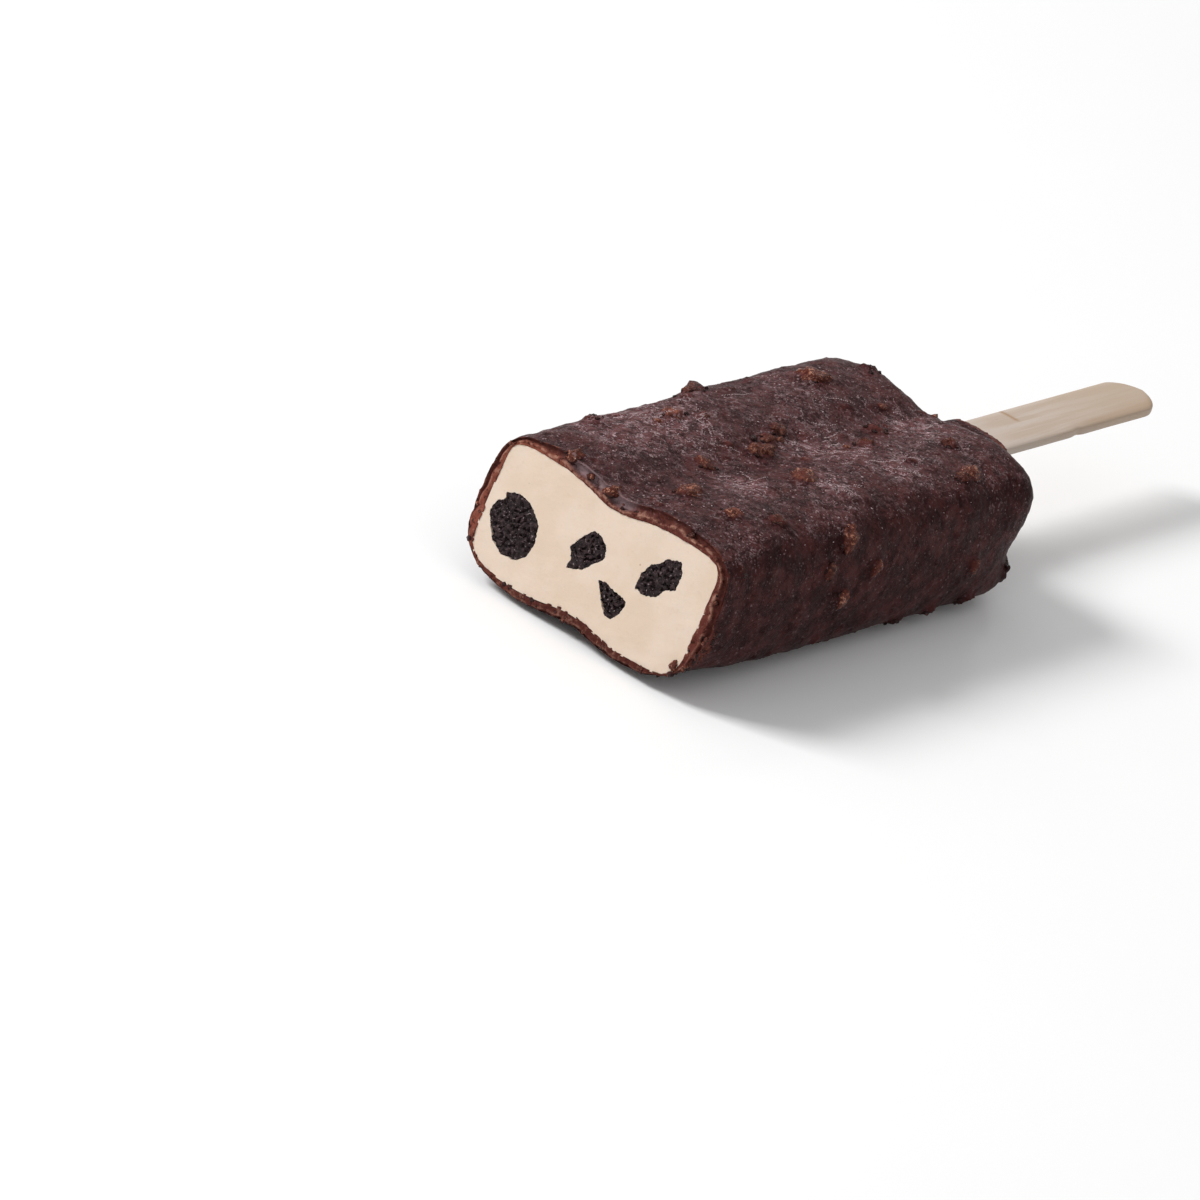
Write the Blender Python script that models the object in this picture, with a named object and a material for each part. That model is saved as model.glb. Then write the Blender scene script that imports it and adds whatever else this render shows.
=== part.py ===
"""A chocolate coated ice cream bar on a flat wooden stick, cut across and lying on its broad face.

+X runs from the cut to the stick's tip, +Y to the bar's left and +Z up. The origin is the middle of
the bounding box, on the surface that the bar lies on. Lengths are in metres.
"""

import math
import random
from dataclasses import dataclass

import bmesh
import bpy
from mathutils import Matrix, Vector, noise
from mathutils.bvhtree import BVHTree

MM = 0.001
GAP = 0.3 * MM  # left between pieces that touch
SEED = 11

# The bar. Distances along it start at the middle of the cut.
BAR_LENGTH = 90 * MM
BAR_HEIGHT = 26 * MM
WIDTH_AT_CUT = 47.4 * MM
WIDTH_AT_END = 47 * MM
RIGHT_BELLY = 0.7 * MM  # how much fuller the right side is, half way up
BELLY_SPREAD = 5 * MM
TOP_GROOVE_AT_CUT = 1.7 * MM
TOP_GROOVE_AT_END = 2.2 * MM
BOTTOM_GROOVE = 1.4 * MM
GROOVE_SPREAD = 6.5 * MM
SHOULDER_RADIUS = 7.5 * MM  # corners of the stick end, seen from above
END_EDGE_RADIUS = 6.5 * MM  # edges of the stick end, seen from the side
END_CROWN = 0.5 * MM
CROWN_SHARE = 0.6  # size of the crown's flat middle against the end face
REST_FLAT = 0.45 * MM  # how much the underside is flattened where it rests
CUT_LEAN = math.radians(9.6)  # the foot of the cut stands out, its top leans back
FOOT_RISE = 0.7 * MM  # how much the chocolate under the bar thins out towards the cut
CUT_REACH = 30 * MM  # the underside is thinner and its corners rounder up to here
OVERCUT = 8 * MM  # how far each body runs past the cut before it is cut off

# The chocolate.
COAT_SIDE = 1.9 * MM
COAT_TOP = 2.3 * MM
COAT_BOTTOM = 2.5 * MM
COAT_END = 2.6 * MM
UNEVEN = 0.4 * MM
UNEVEN_WAVE = 16 * MM
UNEVEN_ABOVE = 6 * MM  # full only above this height

# The stick and the film of chocolate on its root.
STICK_LENGTH = 114 * MM
STICK_WIDTH = 10 * MM
STICK_THICKNESS = 2 * MM
STICK_SHOWN = 61 * MM
STICK_HEIGHT = 15.6 * MM
STICK_EDGE = 0.25 * MM
FILM_LENGTH = 14.2 * MM
FILM_THICKNESS = 0.5 * MM
FILM_FILLET = 2.2 * MM
FILM_FILLET_REACH = 3.5 * MM
FILM_RAGGED = 0.7 * MM
FILM_RAGGED_PACE = 1.7  # waves of its ragged edge, against half its width

# Lumps of cookie and nut under the chocolate: distance along, then across or up, then size.
TOP_LUMPS = (
    (3.4, 11.0, 2.6), (1.6, 1.6, 2.2), (13.2, -5.0, 4.2), (22.4, 0.2, 3.8), (13.4, -13.4, 3.0),
    (20.6, -17.2, 3.2), (33.0, 14.4, 3.6), (36.4, -1.6, 4.6), (40.0, 1.2, 3.4), (46.0, 3.2, 2.8),
    (38.2, -9.0, 3.6), (70.6, 13.8, 4.8), (69.4, -1.0, 3.4), (62.0, -4.4, 3.2), (18.8, 19.4, 2.8),
    (42.4, 18.8, 2.4), (47.6, 19.6, 2.2), (76.0, -10.8, 2.8), (84.6, 5.0, 2.6),
)
SIDE_LUMPS = (
    (34.2, 22.8, 4.0), (42.4, 16.6, 2.8), (36.8, 12.8, 3.2), (29.8, 18.4, 2.6), (72.0, 11.0, 2.8),
    (66.2, 24.6, 3.2), (62.8, 25.2, 3.2), (5.6, 22.0, 2.2), (57.5, 3.0, 2.6), (67.0, 3.0, 3.0),
    (76.6, 3.2, 3.6), (86.6, 7.0, 4.8),
)
HIDDEN_SIDE_LUMPS = 12
HIDDEN_SIDE_LUMP = (2.4 * MM, 4 * MM)
FINE_LUMPS = 46
FINE_LUMP = (1.3 * MM, 2.1 * MM)
LUMP_SINK = 0.12  # how deep a lump's centre lies, as a share of its size
LUMP_FLATNESS = 0.8
LEAST_CLEARANCE = 0.6 * MM  # from a lump's underside to the resting plane

# Cookie chunks at the cut: the middle of each, its outline round that middle, and its depth.
CHUNKS = (
    (
        (15.8, 11.2),
        ((5.1, 0.2), (4.4, 2.2), (3.0, 3.2), (3.6, 4.0), (1.2, 5.0), (-1.4, 4.6), (-4.2, 2.4),
         (-5.1, -0.6), (-4.4, -3.4), (-2.6, -4.9), (0.0, -5.1), (2.6, -3.8)),
        8.0,
    ),
    (
        (1.7, 13.6),
        ((3.2, -0.4), (1.8, 2.0), (0.2, 3.9), (-1.6, 3.6), (-3.0, 2.4), (-3.4, 0.6), (-2.0, -1.0),
         (-0.4, -2.8), (2.4, -3.8), (2.2, -2.0)),
        5.5,
    ),
    (
        (-5.4, 9.4),
        ((3.1, 1.6), (1.6, 1.7), (-0.4, 1.2), (-2.6, 1.2), (-3.3, 0.0), (-2.6, -1.6), (-1.6, -2.8),
         (0.0, -2.9), (0.8, -1.2)),
        4.5,
    ),
    (
        (-12.2, 16.5),
        ((3.5, -3.6), (3.6, -1.2), (2.4, 1.2), (1.2, 1.8), (0.2, 3.2), (-2.4, 4.0), (-3.4, 2.4),
         (-3.4, -0.6), (-1.6, -1.4), (-0.6, -3.2), (1.6, -3.9)),
        6.0,
    ),
)
CHUNK_ROUGHNESS = 0.25 * MM
CHUNK_WAVE = 1.4 * MM  # how far apart the bumps of its outline are
CHUNK_STATIONS = (0, 0.4, 0.6, 0.78, 0.92, 1.0)
CHUNK_TAPER = 2.4  # power of the curve by which it narrows inwards
CHUNK_END = 0.3  # size of its inner end, as a share of its section

AROUND_SKIN = 64
AROUND_CORE = 48
AROUND_FILM = 32
STRAIGHT_STATIONS = 16
CORE_STATIONS = 8
ROUND_STATIONS = 7
FILM_STATIONS = 9
STICK_END_STEPS = 14


@dataclass(frozen=True)
class Form:
    """The bar's grooved, round-shouldered form at some depth under its surface."""

    side: float = 0.0
    top: float = 0.0
    bottom: float = 0.0
    end: float = 0.0
    top_squareness: float = 10.0  # powers of the superellipse that the section follows
    bottom_squareness: float = 6.0
    bottom_squareness_at_cut: float = 6.0
    rise: float = 0.0
    belly: float = 0.0
    uneven: float = 0.0
    around: int = AROUND_CORE
    stations: int = CORE_STATIONS

    def deeper(self, depth):
        """The same form, further in on every side."""
        return Form(self.side + depth, self.top + depth, self.bottom + depth, self.end + depth)


SKIN = Form(
    bottom=-REST_FLAT,
    top_squareness=4.7,
    bottom_squareness=4.4,
    bottom_squareness_at_cut=3.4,
    rise=FOOT_RISE,
    belly=RIGHT_BELLY,
    uneven=UNEVEN,
    around=AROUND_SKIN,
    stations=STRAIGHT_STATIONS,
)
CAVITY = Form(COAT_SIDE, COAT_TOP, COAT_BOTTOM, COAT_END)


def form_ring(form, along, narrowed=0.0, lowered=0.0):
    """The section of the form at a distance along it, as a ring of points."""
    share = min(max(along / BAR_LENGTH, 0), 1)
    full_width = WIDTH_AT_CUT + (WIDTH_AT_END - WIDTH_AT_CUT) * share
    half_width = full_width / 2 - form.side - narrowed
    near_cut = max(0, 1 - max(along, 0) / CUT_REACH)
    bottom = form.bottom + form.rise * near_cut
    half_height = (BAR_HEIGHT - form.top - bottom) / 2
    middle = bottom + half_height
    half_height -= lowered
    top_groove = TOP_GROOVE_AT_CUT + (TOP_GROOVE_AT_END - TOP_GROOVE_AT_CUT) * share
    low_power = form.bottom_squareness + (form.bottom_squareness_at_cut - form.bottom_squareness) * near_cut
    ring = []
    for step in range(form.around):
        turn = 2 * math.pi * step / form.around
        across, up = math.cos(turn), math.sin(turn)
        power = form.top_squareness if up > 0 else low_power
        reach = (abs(across) ** power + abs(up) ** power) ** (-1 / power)
        y = half_width * across * reach
        groove = top_groove if up > 0 else BOTTOM_GROOVE
        dip = 1 - groove / half_height * math.exp(-((y / GROOVE_SPREAD) ** 2))
        point = Vector((along, y, middle + half_height * up * reach * dip))
        if y < 0:
            fullness = math.exp(-(((point.z - middle) / BELLY_SPREAD) ** 2))
            point.y += form.belly * fullness * y / half_width
        if form.uneven:
            square = outward(across, up, reach, power, half_width, half_height)
            point += square * swell(point, form.uneven)
            point.z = max(point.z, 0)
        ring.append(point)
    return ring


def outward(across, up, reach, power, half_width, half_height):
    """The direction square to the superellipse at one of its points."""
    y = math.copysign(abs(across * reach) ** (power - 1), across) / half_width
    z = math.copysign(abs(up * reach) ** (power - 1), up) / half_height
    return Vector((0, y, z)).normalized()


def swell(point, amount):
    """How far the chocolate stands proud at a point; nothing where the bar rests."""
    above_rest = min(max(point.z / UNEVEN_ABOVE, 0), 1)
    return amount * above_rest * noise.noise(point / UNEVEN_WAVE)


def form_rings(form):
    """The form's sections, from before the cut to its round-shouldered, slightly crowned end."""
    end = BAR_LENGTH - form.end
    shoulder = SHOULDER_RADIUS - form.side
    edge = END_EDGE_RADIUS - form.top
    straight_end = end - shoulder
    rings = []
    for step in range(form.stations):
        along = -OVERCUT + (straight_end + OVERCUT) * step / form.stations
        rings.append(form_ring(form, along))
    for step in range(ROUND_STATIONS + 1):
        turn = math.pi / 2 * step / ROUND_STATIONS
        narrowed = shoulder * (1 - math.cos(turn))
        along = straight_end + shoulder * math.sin(turn)
        edge_share = max(0, along - (end - edge)) / edge
        lowered = edge * (1 - math.sqrt(max(0, 1 - edge_share ** 2)))
        rings.append(form_ring(form, along, narrowed, lowered))
    crown = rings[-1]
    middle = sum(crown, Vector()) / len(crown)
    proud = Vector((END_CROWN, 0, 0))
    rings.append([middle + (point - middle) * CROWN_SHARE + proud for point in crown])
    return rings


def loft(name, rings, collection):
    """A closed object whose skin joins rings of equally many points."""
    mesh = bpy.data.meshes.new(name)
    shape = bmesh.new()
    loops = [[shape.verts.new(point) for point in ring] for ring in rings]
    count = len(rings[0])
    for low, high in zip(loops, loops[1:]):
        for i in range(count):
            j = (i + 1) % count
            shape.faces.new((low[i], low[j], high[j], high[i]))
    shape.faces.new(loops[0])
    shape.faces.new(loops[-1])
    bmesh.ops.recalc_face_normals(shape, faces=shape.faces)
    shape.to_mesh(mesh)
    shape.free()
    obj = bpy.data.objects.new(name, mesh)
    collection.objects.link(obj)
    return obj


def stick_outline(grow=0.0):
    """The stick seen from above: straight sides and two half-round ends."""
    radius = STICK_WIDTH / 2 + grow
    tip = BAR_LENGTH + STICK_SHOWN + grow
    root = tip - STICK_LENGTH - 2 * grow
    points = []
    for centre, first in ((tip - radius, -math.pi / 2), (root + radius, math.pi / 2)):
        for step in range(STICK_END_STEPS + 1):
            turn = first + math.pi * step / STICK_END_STEPS
            points.append((centre + radius * math.cos(turn), radius * math.sin(turn)))
    return points


def flat_piece(name, outline, thickness, edge, collection):
    """A flat piece of even thickness with this outline, centred on the stick's height."""
    curve = bpy.data.curves.new(name, "CURVE")
    curve.dimensions = "2D"
    curve.fill_mode = "BOTH"
    curve.extrude = thickness / 2 - edge
    curve.bevel_depth = edge
    curve.bevel_resolution = 1
    curve.offset = -edge
    spline = curve.splines.new("POLY")
    spline.points.add(len(outline) - 1)
    for point, (x, y) in zip(spline.points, outline):
        point.co = (x, y, 0, 1)
    spline.use_cyclic_u = True
    guide = bpy.data.objects.new(name + "_outline", curve)
    bpy.context.scene.collection.objects.link(guide)
    graph = bpy.context.evaluated_depsgraph_get()
    mesh = bpy.data.meshes.new_from_object(guide.evaluated_get(graph))
    mesh.name = name
    shape = bmesh.new()
    shape.from_mesh(mesh)
    bmesh.ops.remove_doubles(shape, verts=shape.verts, dist=0.001 * MM)
    bmesh.ops.recalc_face_normals(shape, faces=shape.faces)
    bmesh.ops.translate(shape, verts=shape.verts, vec=(0, 0, STICK_HEIGHT))
    shape.to_mesh(mesh)
    shape.free()
    bpy.data.objects.remove(guide)
    obj = bpy.data.objects.new(name, mesh)
    collection.objects.link(obj)
    return obj


def film_rings():
    """Chocolate drawn out along the stick: a fillet at the bar's end, then a thin film with a ragged edge."""
    start = BAR_LENGTH - COAT_END / 2
    length = BAR_LENGTH + FILM_LENGTH - start
    rings = []
    for step in range(FILM_STATIONS + 1):
        share = step / FILM_STATIONS
        ring = []
        for index in range(AROUND_FILM):
            turn = 2 * math.pi * index / AROUND_FILM
            across, up = math.cos(turn), math.sin(turn)
            ragged = FILM_RAGGED * noise.noise(Vector((across, up, 0)) * FILM_RAGGED_PACE)
            along = start + (length + ragged) * share
            fillet = FILM_FILLET * math.exp(-max(0, along - BAR_LENGTH) / FILM_FILLET_REACH)
            thick = GAP + FILM_THICKNESS + fillet
            reach = (across ** 4 + up ** 4) ** (-1 / 4)
            y = (STICK_WIDTH / 2 + thick) * across * reach
            z = STICK_HEIGHT + (STICK_THICKNESS / 2 + thick) * up * reach
            ring.append(Vector((along, y, z)))
        rings.append(ring)
    return rings


def lump(name, place, normal, size, draw, collection):
    """An angular crumb, flattened against the surface it lies on and sunk into it."""
    mesh = bpy.data.meshes.new(name)
    shape = bmesh.new()
    detail = 2 if size > 4.4 * MM else 1
    bmesh.ops.create_icosphere(shape, subdivisions=detail, radius=size / 2)
    stretch = Vector((draw.uniform(1.0, 1.25), draw.uniform(0.75, 0.95), LUMP_FLATNESS))
    for vertex in shape.verts:
        vertex.co = vertex.co * stretch * draw.uniform(0.86, 1.12)
    turn = normal.to_track_quat("Z", "Y").to_matrix() @ Matrix.Rotation(draw.uniform(0, math.tau), 3, "Z")
    bmesh.ops.transform(shape, matrix=turn.to_4x4(), verts=shape.verts)
    centre = place - normal * size * LUMP_SINK
    bmesh.ops.translate(shape, verts=shape.verts, vec=centre)
    shape.to_mesh(mesh)
    shape.free()
    obj = bpy.data.objects.new(name, mesh)
    collection.objects.link(obj)
    return obj


def lump_places(surface, draw):
    """Where each lump lies, the surface's direction there, and its size."""
    up = Vector((0, 0, 1))
    left = Vector((0, 1, 0))
    far = BAR_LENGTH
    aims = []
    for along, across, size in TOP_LUMPS:
        aims.append((Vector((along * MM, across * MM, far)), -up, size * MM))
    for along, height, size in SIDE_LUMPS:
        aims.append((Vector((along * MM, -far, height * MM)), left, size * MM))
    for index in range(HIDDEN_SIDE_LUMPS):
        along = BAR_LENGTH * (index + draw.uniform(0.2, 0.8)) / HIDDEN_SIDE_LUMPS
        height = BAR_HEIGHT * draw.uniform(0.2, 0.85)
        aims.append((Vector((along, far, height)), -left, draw.uniform(*HIDDEN_SIDE_LUMP)))
    for index in range(FINE_LUMPS):
        along = BAR_LENGTH * (index + 0.5) / FINE_LUMPS
        turn = draw.uniform(0, math.tau)
        towards = Vector((0, math.cos(turn), math.sin(turn)))
        start = Vector((along, 0, BAR_HEIGHT / 2)) + towards * far
        aims.append((start, -towards, draw.uniform(*FINE_LUMP)))
    for start, towards, size in aims:
        place, normal, _, _ = surface.ray_cast(start, towards)
        if place is not None:
            yield place, normal, size


def add_lumps(coating):
    """Joins the lumps to the coating by one union, and removes the loose ones."""
    draw = random.Random(SEED)
    loose = bpy.data.collections.new("lumps")
    bpy.context.scene.collection.children.link(loose)
    shape = bmesh.new()
    shape.from_mesh(coating.data)
    surface = BVHTree.FromBMesh(shape)
    shape.free()
    for place, normal, size in lump_places(surface, draw):
        if place.z < size / 2 + LEAST_CLEARANCE and normal.z < 0:
            continue
        lump("lump", place, normal, size, draw, loose)
    loft("film", film_rings(), loose)
    join = coating.modifiers.new("Join lumps", "BOOLEAN")
    join.operation = "UNION"
    join.operand_type = "COLLECTION"
    join.collection = loose
    graph = bpy.context.evaluated_depsgraph_get()
    joined = bpy.data.meshes.new_from_object(coating.evaluated_get(graph))
    coating.modifiers.remove(join)
    coating.data = joined
    for obj in list(loose.objects):
        bpy.data.objects.remove(obj)
    bpy.data.collections.remove(loose)


def chunk_rings(middle, outline, depth, grow=0.0):
    """A cookie chunk's sections, from before the cut to its blunt inner end."""
    centre = Vector((0, middle[0], middle[1])) * MM
    corners = [Vector((0, y, z)) * MM for y, z in outline]
    points = []
    for here, following in zip(corners, corners[1:] + corners[:1]):
        points += [here, (here + following) / 2]
    start = -OVERCUT / 2
    run = depth * MM + grow - start
    rings = []
    for share in CHUNK_STATIONS:
        along = start + run * share
        inwards = max(0, along / (depth * MM + grow))
        scale = max(CHUNK_END, math.sqrt(max(0, 1 - inwards ** CHUNK_TAPER)))
        station = Vector((along, 0, 0)) + centre
        ring = []
        for point in points:
            rough = CHUNK_ROUGHNESS * noise.noise((centre + point) / CHUNK_WAVE + Vector((share * 3, 0, 0)))
            ring.append(station + point * scale + point.normalized() * (rough + grow))
        rings.append(ring)
    return rings


def cut(obj, cutter):
    """Takes the cutter's shape, or every shape in a collection, out of the object."""
    away = obj.modifiers.new("Cut " + cutter.name, "BOOLEAN")
    away.operation = "DIFFERENCE"
    if isinstance(cutter, bpy.types.Collection):
        away.operand_type = "COLLECTION"
        away.collection = cutter
    else:
        away.object = cutter


def cut_block(collection):
    """The leaning block that takes off everything before the cut."""
    side = 80 * MM
    bpy.ops.mesh.primitive_cube_add(size=side)
    block = bpy.context.active_object
    block.name = "before_the_cut"
    for owner in list(block.users_collection):
        owner.objects.unlink(block)
    collection.objects.link(block)
    block.rotation_euler = (0, CUT_LEAN, 0)
    facing = Vector((math.cos(CUT_LEAN), 0, -math.sin(CUT_LEAN)))
    block.location = Vector((0, 0, BAR_HEIGHT / 2)) - facing * side / 2
    return block


def material(name, colour, roughness):
    """A plain surface of one colour."""
    made = bpy.data.materials.new(name)
    made.use_nodes = True
    surface = made.node_tree.nodes["Principled BSDF"]
    surface.inputs["Base Color"].default_value = (*colour, 1)
    surface.inputs["Roughness"].default_value = roughness
    surface.inputs["Metallic"].default_value = 0
    return made


def finish(obj, surface, sharp_from=math.radians(40)):
    """Gives the object its material and shades its round faces smooth."""
    obj.data.materials.clear()
    obj.data.materials.append(surface)
    obj.data.shade_smooth()
    obj.data.set_sharp_from_angle(angle=sharp_from)


def helpers_collection():
    """A collection for cutters, which stay out of every view of the part."""
    made = bpy.data.collections.new("cutters")
    bpy.context.scene.collection.children.link(made)
    made.hide_render = True
    return made


def hide_cutters(collection):
    """Marks each cutter as a helper."""
    for obj in collection.all_objects:
        obj.hide_render = True
        obj.display_type = "WIRE"


def make_coating(parts, block, slot, cutters):
    """The chocolate shell, open at the cut, with its lumps and the film on the stick's root."""
    coating = loft("coating", form_rings(SKIN), parts)
    add_lumps(coating)
    cavity = loft("cavity", form_rings(CAVITY), cutters)
    for cutter in (cavity, slot, block):
        cut(coating, cutter)
    finish(coating, material("chocolate", (0.052, 0.024, 0.021), 0.5))
    return coating


def make_ice_cream(parts, block, slot, pockets):
    """The ice cream inside, with a slot for the stick and a pocket for each chunk."""
    core = loft("ice_cream", form_rings(CAVITY.deeper(GAP)), parts)
    for cutter in (pockets, slot, block):
        cut(core, cutter)
    finish(core, material("ice_cream", (0.80, 0.66, 0.48), 0.55))
    return core


def make_chunks(parts, block, pockets):
    """The dark cookie chunks that the cut goes through."""
    dark = material("cookie", (0.012, 0.009, 0.009), 0.8)
    for number, (middle, outline, depth) in enumerate(CHUNKS, 1):
        chunk = loft(f"cookie_chunk_{number}", chunk_rings(middle, outline, depth), parts)
        cut(chunk, block)
        finish(chunk, dark)
        loft(f"pocket_{number}", chunk_rings(middle, outline, depth, GAP), pockets)


def make_stick(parts):
    """The flat birch stick, with slightly rounded edges."""
    stick = flat_piece("stick", stick_outline(), STICK_THICKNESS, STICK_EDGE, parts)
    finish(stick, material("birch", (0.68, 0.53, 0.40), 0.6))
    return stick


def stand_on_origin(parts):
    """Moves all parts, by one empty that carries them, to the middle of their bounding box."""
    bpy.context.view_layer.update()
    graph = bpy.context.evaluated_depsgraph_get()
    corners = []
    for obj in parts.objects:
        corners += [Vector(corner) for corner in obj.evaluated_get(graph).bound_box]
    low = Vector([min(corner[axis] for corner in corners) for axis in range(3)])
    high = Vector([max(corner[axis] for corner in corners) for axis in range(3)])
    carrier = bpy.data.objects.new("bar_frame", None)
    bpy.context.scene.collection.objects.link(carrier)
    carrier.location = (-(low.x + high.x) / 2, -(low.y + high.y) / 2, -low.z)
    for obj in bpy.data.objects:
        if obj is not carrier:
            obj.parent = carrier


def main():
    """Clears the scene and builds the bar."""
    for obj in list(bpy.data.objects):
        bpy.data.objects.remove(obj)
    parts = bpy.data.collections.new("ice_cream_bar")
    bpy.context.scene.collection.children.link(parts)
    cutters = helpers_collection()
    pockets = bpy.data.collections.new("pockets")
    cutters.children.link(pockets)
    block = cut_block(cutters)
    slot = flat_piece("slot", stick_outline(GAP), STICK_THICKNESS + 2 * GAP, 0, cutters)
    make_stick(parts)
    make_chunks(parts, block, pockets)
    make_ice_cream(parts, block, slot, pockets)
    make_coating(parts, block, slot, cutters)
    hide_cutters(cutters)
    stand_on_origin(parts)


main()
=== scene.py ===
"""Looks of a chocolate coated ice cream bar on a flat birch stick, cut across and lying on its broad face.

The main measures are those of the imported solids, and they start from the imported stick. Each visible
surface is modelled here again at a fine scale: the chocolate with the crumbs that lie under it, the crumbly
edge of the cut, the ice cream's cut face, the dark cookie chunks and the stick. Lengths are in metres.
"""

import logging
import math
import random
from dataclasses import dataclass, field, replace
from enum import Enum
from functools import partial, reduce

import bmesh
import bpy
import numpy as np
from mathutils import Matrix, Vector, noise
from mathutils.bvhtree import BVHTree


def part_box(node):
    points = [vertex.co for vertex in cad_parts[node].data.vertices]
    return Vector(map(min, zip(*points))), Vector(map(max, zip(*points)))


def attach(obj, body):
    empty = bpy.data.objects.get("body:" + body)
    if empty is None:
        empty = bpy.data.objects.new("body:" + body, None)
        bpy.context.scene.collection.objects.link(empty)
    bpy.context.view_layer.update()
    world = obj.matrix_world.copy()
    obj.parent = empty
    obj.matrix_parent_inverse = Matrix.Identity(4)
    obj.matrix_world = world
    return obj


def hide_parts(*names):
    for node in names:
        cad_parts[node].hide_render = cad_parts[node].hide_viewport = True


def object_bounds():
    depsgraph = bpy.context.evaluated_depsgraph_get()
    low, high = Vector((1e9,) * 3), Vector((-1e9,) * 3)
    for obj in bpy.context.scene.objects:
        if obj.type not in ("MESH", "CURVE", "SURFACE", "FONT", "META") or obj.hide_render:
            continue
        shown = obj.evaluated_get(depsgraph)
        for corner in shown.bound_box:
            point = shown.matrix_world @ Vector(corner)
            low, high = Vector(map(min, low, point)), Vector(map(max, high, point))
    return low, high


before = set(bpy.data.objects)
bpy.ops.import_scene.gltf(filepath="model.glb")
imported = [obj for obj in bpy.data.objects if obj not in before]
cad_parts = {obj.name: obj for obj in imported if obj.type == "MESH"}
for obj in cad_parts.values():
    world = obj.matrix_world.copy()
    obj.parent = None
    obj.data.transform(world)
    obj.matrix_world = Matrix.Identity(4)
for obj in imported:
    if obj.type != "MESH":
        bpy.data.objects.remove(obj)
CAD_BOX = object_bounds()

log = logging.getLogger("ice_cream_bar")

MM = 0.001
SEED = 11
BODY = "root"
Array = np.ndarray
Socket = bpy.types.NodeSocket
Colour = tuple[float, float, float]


class Slot(Enum):
    """The material slots."""

    CHOCOLATE = "chocolate"
    ICE_CREAM = "ice_cream"
    COOKIE = "cookie"
    BIRCH = "birch"


def smooth_step(value: Array, low: float, high: float) -> Array:
    """Zero below low, one above high, and a smooth ramp between them."""
    share = np.clip((value - low) / (high - low), 0, 1)
    return share * share * (3 - 2 * share)


def unit(vectors: Array) -> Array:
    """The same directions, each one unit long."""
    return vectors / np.maximum(np.linalg.norm(vectors, axis=-1, keepdims=True), 1e-12)


def noise_at(points: Array, wave: float, octaves: int = 1, shift: float = 0.0) -> Array:
    """Smooth noise at points in space.

    Args:
        points: places, in an array whose last axis is x, y and z.
        wave: distance between neighbouring bumps.
        octaves: how many times finer noise is added.
        shift: moves the noise, so that two fields of one wave differ.

    Returns:
        Values between about -1 and 1, one for each point.
    """
    spots = (points.reshape(-1, 3) / wave + shift).tolist()
    if octaves == 1:
        values = [noise.noise(spot) for spot in spots]
    else:
        values = [noise.fractal(spot, 1.0, 2.0, octaves) for spot in spots]
    return np.array(values).reshape(points.shape[:-1])


def grid_mesh(name: str, points: Array, wrap: bool = False) -> bpy.types.Object:
    """A closed mesh whose skin joins rings of equally many points.

    Args:
        name: the object's name.
        points: rings by points by x, y and z; each ring closes on itself.
        wrap: whether the last ring joins the first; otherwise one face fills each of the two.

    Returns:
        The new object, with its faces pointing out.
    """
    rings, around = points.shape[:2]
    index = np.arange(rings * around).reshape(rings, around)
    low = index if wrap else index[:-1]
    high = np.roll(index, -1, axis=0) if wrap else index[1:]
    quads = np.stack([low, np.roll(low, -1, axis=1), np.roll(high, -1, axis=1), high], axis=-1)
    faces = quads.reshape(-1, 4).tolist()
    if not wrap:
        faces += [index[0].tolist(), index[-1].tolist()]
    return mesh_object(name, points.reshape(-1, 3), faces)


def mesh_object(name: str, points: Array, faces: list[list[int]]) -> bpy.types.Object:
    """An object made of points and faces, shaded smooth, with its faces pointing out.

    Args:
        name: the object's name.
        points: one row of x, y and z for each point.
        faces: for each face, the numbers of its points in order.

    Returns:
        The new object, linked to the scene.
    """
    mesh = bpy.data.meshes.new(name)
    mesh.from_pydata(points.tolist(), [], faces)
    shape = bmesh.new()
    shape.from_mesh(mesh)
    bmesh.ops.recalc_face_normals(shape, faces=shape.faces)
    shape.to_mesh(mesh)
    shape.free()
    mesh.shade_smooth()
    obj = bpy.data.objects.new(name, mesh)
    bpy.context.scene.collection.objects.link(obj)
    return obj


def ball(detail: int) -> tuple[Array, list[list[int]]]:
    """A ball of triangles, one unit in radius.

    Args:
        detail: how many times its triangles are divided.

    Returns:
        Its points and its faces.
    """
    shape = bmesh.new()
    bmesh.ops.create_icosphere(shape, subdivisions=detail, radius=1)
    points = np.array([vertex.co for vertex in shape.verts])
    faces = [[vertex.index for vertex in face.verts] for face in shape.faces]
    shape.free()
    return points, faces


def paint(obj: bpy.types.Object, name: str, values: Array) -> None:
    """Stores one number for each point of the mesh, for its material to read."""
    layer = obj.data.attributes.new(name, "FLOAT", "POINT")
    layer.data.foreach_set("value", values.astype(np.float32).ravel())


def combine(obj: bpy.types.Object, tool: bpy.types.Object, operation: str) -> None:
    """Cuts an object with a tool, or keeps only what lies inside the tool, and removes the tool.

    Args:
        obj: the object that is changed.
        tool: a closed object.
        operation: DIFFERENCE or INTERSECT.
    """
    step = obj.modifiers.new("Cut", "BOOLEAN")
    step.operation = operation
    step.object = tool
    graph = bpy.context.evaluated_depsgraph_get()
    obj.data = bpy.data.meshes.new_from_object(obj.evaluated_get(graph))
    obj.modifiers.clear()
    bpy.data.objects.remove(tool)


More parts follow.
